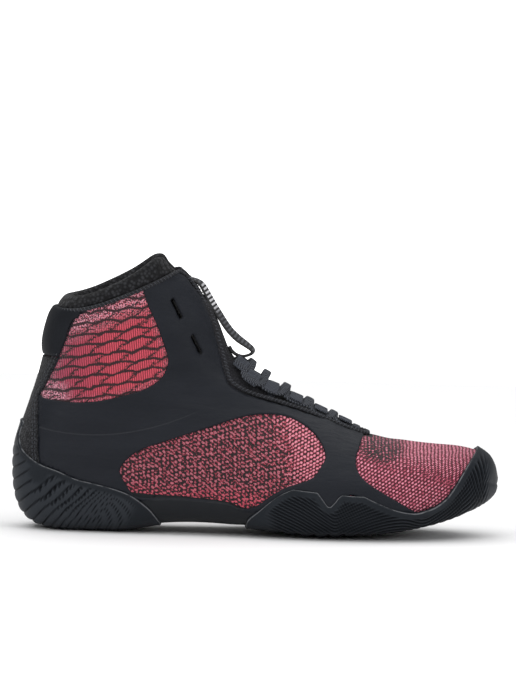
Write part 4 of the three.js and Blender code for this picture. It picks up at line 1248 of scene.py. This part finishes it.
def tongue_sheet(material):
    """The sheet under the throat, which stands out below the laces and thickens to its top."""
    share = np.linspace(-1, 1, 26)
    edge = np.sqrt(np.clip(1 - np.abs(share) ** 6, 0, 1))
    rings = []
    for row in np.linspace(TONGUE_START, LAST_ROW, 110):
        half = lerp(throat_half(row) + 8, TONGUE_HALF_TOP, smoothstep(row, 20.5, 22.8))
        thick = TONGUE_THICKNESS * (1 + smoothstep(row, 20.5, LAST_ROW))
        end = rounded((LAST_ROW - row) * 12, 3.0)
        across = np.full(len(share), row)
        turn = turn_aside(across, half * share)
        middle = UPPER_WALL + 3 * GAP + thick / 2
        half_thick = thick / 2 * (0.25 + 0.75 * edge * end)
        bulge = 1.2 * lift(row) * (1 - share**2)
        front = skin(across, turn, bulge - (middle - half_thick))
        back = skin(across, turn, -(middle + half_thick))
        rings.append(np.concatenate([front, back[::-1]]))
    vertices, faces = lofted(rings)
    made = mesh_object("tongue_padded", vertices, faces, material, "dark_mesh")
    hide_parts("tongue")


def throat_place(row, aside, offset):
    """A place over the throat and the direction out of the surface there."""
    row, aside = np.array([float(row)]), np.array([float(aside)])
    turn = turn_aside(row, aside)
    place = skin(row, turn, offset)[0]
    return place, skin(row, turn, offset + 1.0)[0] - place


def smooth_path(points, count):
    """Evenly spaced places on a Catmull-Rom curve through points of any dimension."""
    fine = smooth_line(points, closed=False, fineness=16)
    run = travelled(fine[:, :3])
    at = np.linspace(0, run[-1], count)
    return read_line(at, run, fine).T, at


def frames(path, faces):
    """The directions across and up at each place of a path, from about where each place faces."""
    along = np.gradient(path, axis=0)
    along /= np.linalg.norm(along, axis=1, keepdims=True)
    across = np.cross(along, faces)
    across /= np.linalg.norm(across, axis=1, keepdims=True)
    return across, np.cross(across, along)


def strap(stations, width, thickness, spacing, sides=14):
    """A flat strap with round edges, with the distance along and across it at each vertex."""
    total = sum(np.linalg.norm(np.subtract(b[0], a[0])) for a, b in zip(stations, stations[1:]))
    count = max(int(total / spacing), 4)
    path, at = smooth_path([np.concatenate([place, face]) for place, face in stations], count)
    across, up = frames(path[:, :3], path[:, 3:])
    angle = np.linspace(0, 2 * math.pi, sides, endpoint=False) + math.pi / sides
    side = np.sign(np.cos(angle)) * np.abs(np.cos(angle)) ** 0.45 * width / 2
    rise = np.sign(np.sin(angle)) * np.abs(np.sin(angle)) ** 0.8 * thickness / 2
    rings = [p + np.outer(side, a) + np.outer(rise, u) for p, a, u in zip(path[:, :3], across, up)]
    vertices, faces = lofted(rings)
    run = np.concatenate([np.repeat(at, sides), [at[0], at[-1]]])
    aside = np.concatenate([np.tile(side, count), [0, 0]])
    return vertices, faces, run, aside


def joined(bodies):
    """Several bodies as one set of vertices and faces, with what each vertex carries."""
    vertices, faces, carried = [], [], []
    start = 0
    for body in bodies:
        vertices.append(body[0])
        faces += [tuple(i + start for i in face) for face in body[1]]
        carried.append(body[2:])
        start += len(body[0])
    return [np.concatenate(vertices), faces, *(np.concatenate(each) for each in zip(*carried))]


# The lace's loops by row, and the sizes of lace, webbing and binding, in millimetres
EYELET_ROWS = [8.2, 9.1, 10.1, 11.2, 12.3, 13.4]
LACE_WIDTH = 4.8
LACE_THICKNESS = 1.9
WEBBING_WIDTH = 8.6
WEBBING_THICKNESS = 1.0
BINDING_DIAMETER = 2.4
LACE_RISE = 0.6
CROSS_RISE = 2.9
BINDING_INNER = BINDING_DIAMETER + 4 * GAP
LACE_INSET = BINDING_INNER + GAP + LACE_WIDTH / 2
LACE_RUN = WEBBING_WIDTH / 2 + 1
LACE_SPACING = 0.8
LIFT_SHARE = 0.95


def lift(row):
    """How far the laces and the tongue below them stand out towards the ankle."""
    return 4.2 * smoothstep(row, 8.6, 13.0) * (1 - smoothstep(row, 18.5, 22.5))


def rows_along(row, distance):
    """How many rows a distance along the throat is."""
    parts = [columns_at(np.array(at)) for at in (row - 0.5, row + 0.5)]
    start, end = (side_point(part["over_s"], part["over_z"]) for part in parts)
    return distance / np.linalg.norm(end - start)


def narrowest_half(row):
    """Half the throat's width where it is narrowest under a loop."""
    step = rows_along(row, LACE_RUN)
    return min(throat_half(row - step), throat_half(row + step))


def lace_run(material):
    """The two strands, each from loop to loop and across, and the bar at the toe end."""
    bodies = []
    for first in (-1, 1):
        stations = []
        for i, row in enumerate(EYELET_ROWS):
            side = first if i % 2 == 0 else -first
            step = rows_along(row, LACE_RUN)
            aside = side * (narrowest_half(row) - LACE_INSET)
            rise = LACE_RISE + LIFT_SHARE * lift(row)
            stations += [throat_place(end, aside, rise) for end in (row - step, row + step)]
            if i + 1 < len(EYELET_ROWS):
                middle = (row + EYELET_ROWS[i + 1]) / 2
                over = 0.6 if first > 0 else -0.4
                stations.append(throat_place(middle, 0, CROSS_RISE + lift(middle) + over))
        bodies.append(strap(stations, LACE_WIDTH, LACE_THICKNESS, LACE_SPACING))
    row = EYELET_ROWS[0] - rows_along(EYELET_ROWS[0], LACE_RUN + LACE_WIDTH / 2)
    half = throat_half(row) - LACE_INSET
    bar = [throat_place(row, share * half, LACE_RISE + 1 - share**2) for share in (-1, -0.5, 0, 0.5, 1)]
    bodies.append(strap(bar, LACE_WIDTH, LACE_THICKNESS, LACE_SPACING))
    vertices, faces, run, across = joined(bodies)
    made = mesh_object("laces_flat", vertices, faces, material, "lace_cord", run=run, across=across)
    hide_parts("laces")


def lace_loops(material):
    """A loop of webbing round the lace at each row, on each side."""
    clear = LACE_THICKNESS / 2 + 3 * GAP + WEBBING_THICKNESS / 2
    fold = LACE_INSET + LACE_WIDTH / 2 + 4 * GAP + WEBBING_THICKNESS / 2
    path = [(BINDING_INNER, clear), (fold - 2.5, clear), (fold - 0.8, clear * 0.85), (fold, 0),
            (fold - 0.8, -clear * 0.85), (fold - 2.5, -clear), (BINDING_INNER, -clear)]
    bodies = []
    nodes = []
    for i, row in enumerate(EYELET_ROWS):
        for side, name in ((-1, "lateral"), (1, "medial")):
            half = narrowest_half(row)
            stations = []
            for k, (inset, rise) in enumerate(path):
                lifted = LIFT_SHARE * lift(row) * min(inset / fold, 1)
                place, face = throat_place(row, side * (half - inset), LACE_RISE + rise + lifted)
                before, after = path[max(k - 1, 0)], path[min(k + 1, len(path) - 1)]
                run = np.subtract(after, before)
                run = run / np.linalg.norm(run)
                stations.append((place, face * run[0] - np.array([0, -side, 0]) * run[1]))
            bodies.append(strap(stations, WEBBING_WIDTH, WEBBING_THICKNESS, 0.7, 10))
            nodes.append(f"lace_loop_{name}_{i + 1}")
    vertices, faces, run, across = joined(bodies)
    made = mesh_object("webbing_loops", vertices, faces, material, "webbing", run=run, across=across)
    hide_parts(*nodes)


def tube(path, radius, sides):
    """A round body along a path, of one radius or one for each place."""
    across, up = frames(path, np.array([0.3, 0, 1]))
    angle = np.linspace(0, 2 * math.pi, sides, endpoint=False)
    radii = np.broadcast_to(radius, len(path))
    return lofted([p + r * (np.outer(np.cos(angle), a) + np.outer(np.sin(angle), u))
                   for p, a, u, r in zip(path, across, up, radii)])


def binding_path():
    """The middle of the throat's binding, from the collar round the toe end and back to the collar."""
    inset = BINDING_DIAMETER / 2 + GAP
    toe_end = THROAT[1, 0]
    rows = [row for row in THROAT[:, 0] if toe_end < row < COLLAR_ROW - 0.5]
    lateral, medial = ([throat_place(row, sign * (throat_half(row) - 1.2 * inset), 0.5)[0] for row in rows]
                       for sign in (-1, 1))
    front = []
    for share in (-1, 0, 1):
        row = toe_end - 0.05 * (1 - abs(share))
        front.append(throat_place(row, share * (throat_half(row) - 2 * inset), 0.5)[0])
    return smooth_path(lateral[::-1] + front + medial, 420)[0]


def throat_binding_roll(material):
    """The rolled tape round the throat's edge."""
    vertices, faces = tube(binding_path(), BINDING_DIAMETER / 2, 12)
    made = mesh_object("throat_binding_roll", vertices, faces, material, "binding")
    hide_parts("throat_binding")


# How far apart stitches lie, how long those of the heel's seams are, and how thick the thread is
WHIP_PITCH = 2.3
SEAM_PITCH = 2.4
SEAM_STITCH = 1.7
THREAD_RADIUS = 0.26


def stitch(a, b, out):
    """A short raised thread between two places."""
    share = np.linspace(0, 1, 6)
    swell = np.sin(np.pi * share)
    path = lerp(a, b, share[:, None]) + np.outer(0.3 * swell, out)
    return tube(path, THREAD_RADIUS * (0.55 + 0.45 * swell), 6)


def whip_stitch(middle, along, out, angles, slides, reach, radius):
    """A thread round a roll, at angles from its outer side to its top, that slides along it."""
    up = np.cross(along, out)
    up *= np.sign(up[2] + 1e-9)
    arc = [middle + along * slide + reach * (math.cos(angle) * out + math.sin(angle) * up)
           for angle, slide in zip(np.radians(angles), slides)]
    return tube(np.array(arc), radius, 5)


def stitches(material):
    """Whip stitches over the throat's binding and two seams along the heel strip's front edge."""
    bodies = []
    path = binding_path()
    run = travelled(path)
    for at in np.arange(3, run[-1] - 3, WHIP_PITCH):
        here, ahead = (read_line(spot, run, path) for spot in (at, at + 1.3))
        along = (ahead - here) / np.linalg.norm(ahead - here)
        out = np.array([0, 1.0 if here[1] > 0 else -1.0, 0.0])
        out -= along * (out @ along)
        out /= np.linalg.norm(out)
        bodies.append(whip_stitch((here + ahead) / 2, along, out, (-25, 10, 45, 80, 110),
                                  (-0.8, -0.4, 0, 0.4, 0.8), 1.28, THREAD_RADIUS))
    front = smooth_line(STRIP_FRONT[1:], closed=False, fineness=10)
    run = travelled(front)
    for shift in (-1.3, -2.9):
        for at in np.arange(2, run[-1] - 14, SEAM_PITCH):
            ends = [read_line(spot, run, front) for spot in (at, at + SEAM_STITCH)]
            starts, stops = (side_places(s + shift, z, GAP + STRIP) for s, z in ends)
            for a, b, out in zip(starts, stops, (-1.0, 1.0)):
                bodies.append(stitch(a, b, (0, out, 0)))
    vertices, faces = joined(bodies)
    mesh_object("stitches", vertices, faces, material, "binding")


def side_places(s, z, offset):
    """The places on the outer and the inner side that are seen at a distance and height."""
    found = []
    for grid in side_grids:
        away = np.hypot(grid[2][..., 0] - s, grid[2][..., 1] - z)
        i, j = np.unravel_index(np.argmin(away), away.shape)
        row, turn = grid[0][i, j], grid[1][i, j]
        for _ in range(6):
            rows = np.array([row, row + 0.01, row])
            turns = np.array([turn, turn, turn + 0.001])
            spots = seen_at(rows, turns, offset)
            gradient = np.stack([(spots[1] - spots[0]) / 0.01, (spots[2] - spots[0]) / 0.001], -1)
            step = np.linalg.solve(gradient, np.array([s, z]) - spots[0])
            row += float(np.clip(step[0], -0.5, 0.5))
            turn += float(np.clip(step[1], -0.03, 0.03))
        found.append(skin(np.array([row]), np.array([turn]), offset)[0])
    return found


def make_side_grids():
    """Rows, turns and where they are seen, for the outer and the inner side."""
    grids = []
    for low in (0.0, 0.5):
        turns = np.linspace(low + 0.02, low + 0.48, 50)
        rows, turns = np.meshgrid(np.linspace(0, LAST_ROW, 131), turns, indexing="ij")
        grids.append((rows, turns, side_view(last_point(rows, turns))))
    return grids


def collar_seam(material, thread):
    """The stitched tape along the collar's edge, between the upper and its pad."""
    aside = np.array([-1, 1]) * (throat_half(COLLAR_ROW) - 0.5)
    start, end = wrapped(turn_aside(np.full(2, COLLAR_ROW), aside))
    turns = np.linspace(start, end, 300) * 0.985
    edge = skin(collar_row(turns) - 0.12, turns, GAP + FILM * 0.6)
    corner_rows = (22.9, 23.2, 23.5, 23.8)
    lateral, medial = ([throat_place(at, sign * (throat_half(at) - 1.2), 0.7)[0] for at in corner_rows]
                       for sign in (-1, 1))
    path = smooth_path(lateral + list(edge[3:-3:6]) + medial[::-1], 420)[0]
    vertices, faces = tube(path, 1.15, 10)
    mesh_object("collar_tape", vertices, faces, material, "binding")
    middle = np.array([path[:, 0].mean(), path[:, 1].mean(), 0])
    out = (path - middle) * (1, 1, 0)
    out /= np.linalg.norm(out, axis=1)[:, None]
    run = travelled(path)
    bodies = []
    for at in np.arange(2, run[-1] - 2, WHIP_PITCH):
        here, ahead = (read_line(spot, run, path) for spot in (at, at + 1.2))
        along = (ahead - here) / np.linalg.norm(ahead - here)
        bodies.append(whip_stitch(here, along, read_line(at, run, out), (-50, -20, 15, 50),
                                  (-0.6, -0.2, 0.2, 0.6), 1.22, 0.24))
    vertices, faces = joined(bodies)
    mesh_object("collar_stitches", vertices, faces, thread, "binding")


# The lace keeper: distance and height in percent of length and height, and the turn of its face
KEEPER_PATH = [
    (34.15, 94.75, 0), (34.9, 93.4, 0), (36.5, 92.8, 8), (37.8, 91.6, 16), (38.7, 89.5, 22),
    (39.6, 86.6, 25), (40.7, 83.3, 25), (41.9, 80.0, 25), (43.0, 77.0, 25), (44.3, 74.0, 25),
    (45.8, 71.5, 25), (47.4, 69.5, 20),
    (48.6, 67.9, 15), (48.9, 66.7, 10), (48.2, 65.6, 5), (46.9, 65.0, 5), (45.6, 65.5, 0), (44.6, 66.9, 0),
    (44.1, 68.5, 0),
]
KEEPER_WIDTH = 8.0
KEEPER_THICKNESS = 1.8
# How far the keeper lies to the outer side of the middle
KEEPER_ASIDE = -2.5


def keeper_strap(material):
    """The elastic strap that hangs from the tongue."""
    path = np.array(KEEPER_PATH)
    places = side_point(path[:, 0], path[:, 1])
    places[:, 1] = KEEPER_ASIDE
    stations = []
    for i, place in enumerate(places):
        along = places[min(i + 1, len(places) - 1)] - places[max(i - 1, 0)]
        along /= np.linalg.norm(along)
        face = Vector((along[2], 0, -along[0]))
        face.rotate(Matrix.Rotation(math.radians(path[i, 2]), 3, Vector(along)))
        stations.append((place, np.array(face)))
    vertices, faces, run, across = strap(stations, KEEPER_WIDTH, KEEPER_THICKNESS, 0.7, 16)
    made = mesh_object("lace_keeper_elastic", vertices, faces, material, "striped_elastic",
                       run=run, across=across)
    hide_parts("lace_keeper")


# The studio


def area_light(name, place, target, size, power):
    """A soft light that shines on a target."""
    data = bpy.data.lights.new(name, "AREA")
    data.shape = "RECTANGLE"
    data.size, data.size_y = size
    data.energy = power
    light = bpy.data.objects.new(name, data)
    light.location = place
    light.rotation_euler = (Vector(target) - Vector(place)).to_track_quat("-Z", "Y").to_euler()
    bpy.context.scene.collection.objects.link(light)


def plane(name, half_width, front, back, material):
    """A plane at the floor's height, between two places along Y."""
    mesh = bpy.data.meshes.new(name)
    corners = [(-half_width, front, 0), (half_width, front, 0), (half_width, back, 0), (-half_width, back, 0)]
    mesh.from_pydata(corners, [], [(0, 1, 2, 3)])
    mesh.materials.append(material)
    made = bpy.data.objects.new(name, mesh)
    bpy.context.scene.collection.objects.link(made)


# The floor ends behind the shoe, where a backdrop that shines white goes on at the same height
FLOOR_REACH = 6.0
BACKDROP_Y = 1.0
BACKDROP_REACH = 14.0


def studio():
    """A pale floor, a white backdrop, a dim world and three lights."""
    scene = bpy.context.scene
    world = bpy.data.worlds.new("studio")
    scene.world = world
    scene.view_settings.view_transform = "Standard"
    world.use_nodes = True
    background = world.node_tree.nodes["Background"].inputs
    background["Color"].default_value = (1, 1, 1, 1)
    background["Strength"].default_value = 0.35
    pale = Graph("pale_floor").shade(base_color=(0.92, 0.92, 0.925), roughness=0.6)
    plane("floor", FLOOR_REACH, -FLOOR_REACH, BACKDROP_Y, pale)
    white = Graph("white_backdrop").shade(base_color=(0.9, 0.9, 0.9), roughness=1.0,
                                          emission_color=(1.0, 1.0, 1.0), emission_strength=0.9)
    plane("backdrop", BACKDROP_REACH, BACKDROP_Y, BACKDROP_REACH, white)
    area_light("top", (0.0, 0.0, 3.0), (0, 0, 0), (6.0, 6.0), 165)
    area_light("key", (-0.75, -1.5, 0.95), (0, 0, 0.06), (0.6, 0.5), 7)
    area_light("front", (1.25, -1.2, 0.75), (0.05, 0, 0.05), (0.5, 0.6), 5)


# The camera: what it looks at, from how far and how high, in metres and degrees, and the width it sees
CAMERA_TARGET = (-0.0003, 0.0, 0.1119)
CAMERA_DISTANCE = 6.0
CAMERA_ELEVATION = 5.0
CAMERA_ROLL = -1.5
PICTURE_WIDTH = 0.3063


def camera():
    """The camera, far away, with the width it sees set by its lens."""
    data = bpy.data.cameras.new("camera")
    data.sensor_fit = "HORIZONTAL"
    data.sensor_width = 36.0
    data.lens = 36.0 * CAMERA_DISTANCE / PICTURE_WIDTH
    data.clip_start = 0.05
    data.clip_end = 30.0
    made = bpy.data.objects.new("camera", data)
    elevation = math.radians(CAMERA_ELEVATION)
    back = Vector((0, -math.cos(elevation), math.sin(elevation)))
    made.location = Vector(CAMERA_TARGET) + back * CAMERA_DISTANCE
    turn = (-back).to_track_quat("-Z", "Y").to_matrix() @ Matrix.Rotation(math.radians(-CAMERA_ROLL), 3, "Z")
    made.rotation_euler = turn.to_euler()
    bpy.context.scene.collection.objects.link(made)
    bpy.context.scene.camera = made


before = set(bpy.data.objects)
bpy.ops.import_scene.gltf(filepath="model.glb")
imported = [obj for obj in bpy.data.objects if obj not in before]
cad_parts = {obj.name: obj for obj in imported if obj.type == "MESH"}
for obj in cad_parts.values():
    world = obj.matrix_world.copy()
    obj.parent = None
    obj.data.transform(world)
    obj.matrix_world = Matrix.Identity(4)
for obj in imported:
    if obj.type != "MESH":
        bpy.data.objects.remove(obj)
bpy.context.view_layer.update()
camera()
studio()

along_table, around_table = surface_tables()
side_grids = make_side_grids()

rubber = rubber_material()
film = film_material()
binding = cloth_material("binding", (0.012, 0.0125, 0.015), (0.035, 0.036, 0.042), 0.9)
thread = strand_material("thread", (0.062, 0.066, 0.078))
mesh_cloth = cloth_material("dark_mesh", (0.003, 0.003, 0.004), (0.030, 0.031, 0.035), 2.1, 1.0)
tongue_cloth = cloth_material("tongue_mesh", (0.006, 0.006, 0.008), (0.022, 0.022, 0.027), 1.1, 0.6)
strip_cloth = cloth_material("heel_textile", (0.006, 0.0065, 0.008), (0.036, 0.037, 0.042), 1.2, 0.9)
lace = lace_material("lace_cord", (0.007, 0.008, 0.010), (0.104, 0.112, 0.132), 1.5)
webbing = lace_material("webbing", (0.008, 0.009, 0.012), (0.114, 0.125, 0.152), 1.2)
knits = [ankle_knit(), side_knit(), toe_knit(),
         cloth_material("lining", (0.008, 0.008, 0.009), (0.02, 0.02, 0.023), 1.2, 0.5)]

upper_shell(knits)
film_shell("film_outer_side", "film_lateral", film, 0.03, 0.5)
film_shell("film_inner_side", "film_medial", film, 0.97, 0.5)
heel_strip_shell(strip_cloth)
heel_pad_shell(pad_material())
midsole_shell(midsole_material())
heel_rubber(rubber)
forefoot_rubber(rubber)
collar_pad_roll(mesh_cloth)
tongue_sheet(tongue_cloth)
throat_binding_roll(binding)
lace_run(lace)
lace_loops(webbing)
keeper_strap(elastic_material("striped_elastic"))
stitches(thread)
collar_seam(binding, thread)
insole_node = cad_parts["insole"]
insole_node.data.materials.clear()
insole_cloth = cloth_material("insole_cloth", (0.01, 0.01, 0.011), (0.024, 0.024, 0.027), 1.0, 0.4)
insole_node.data.materials.append(insole_cloth)
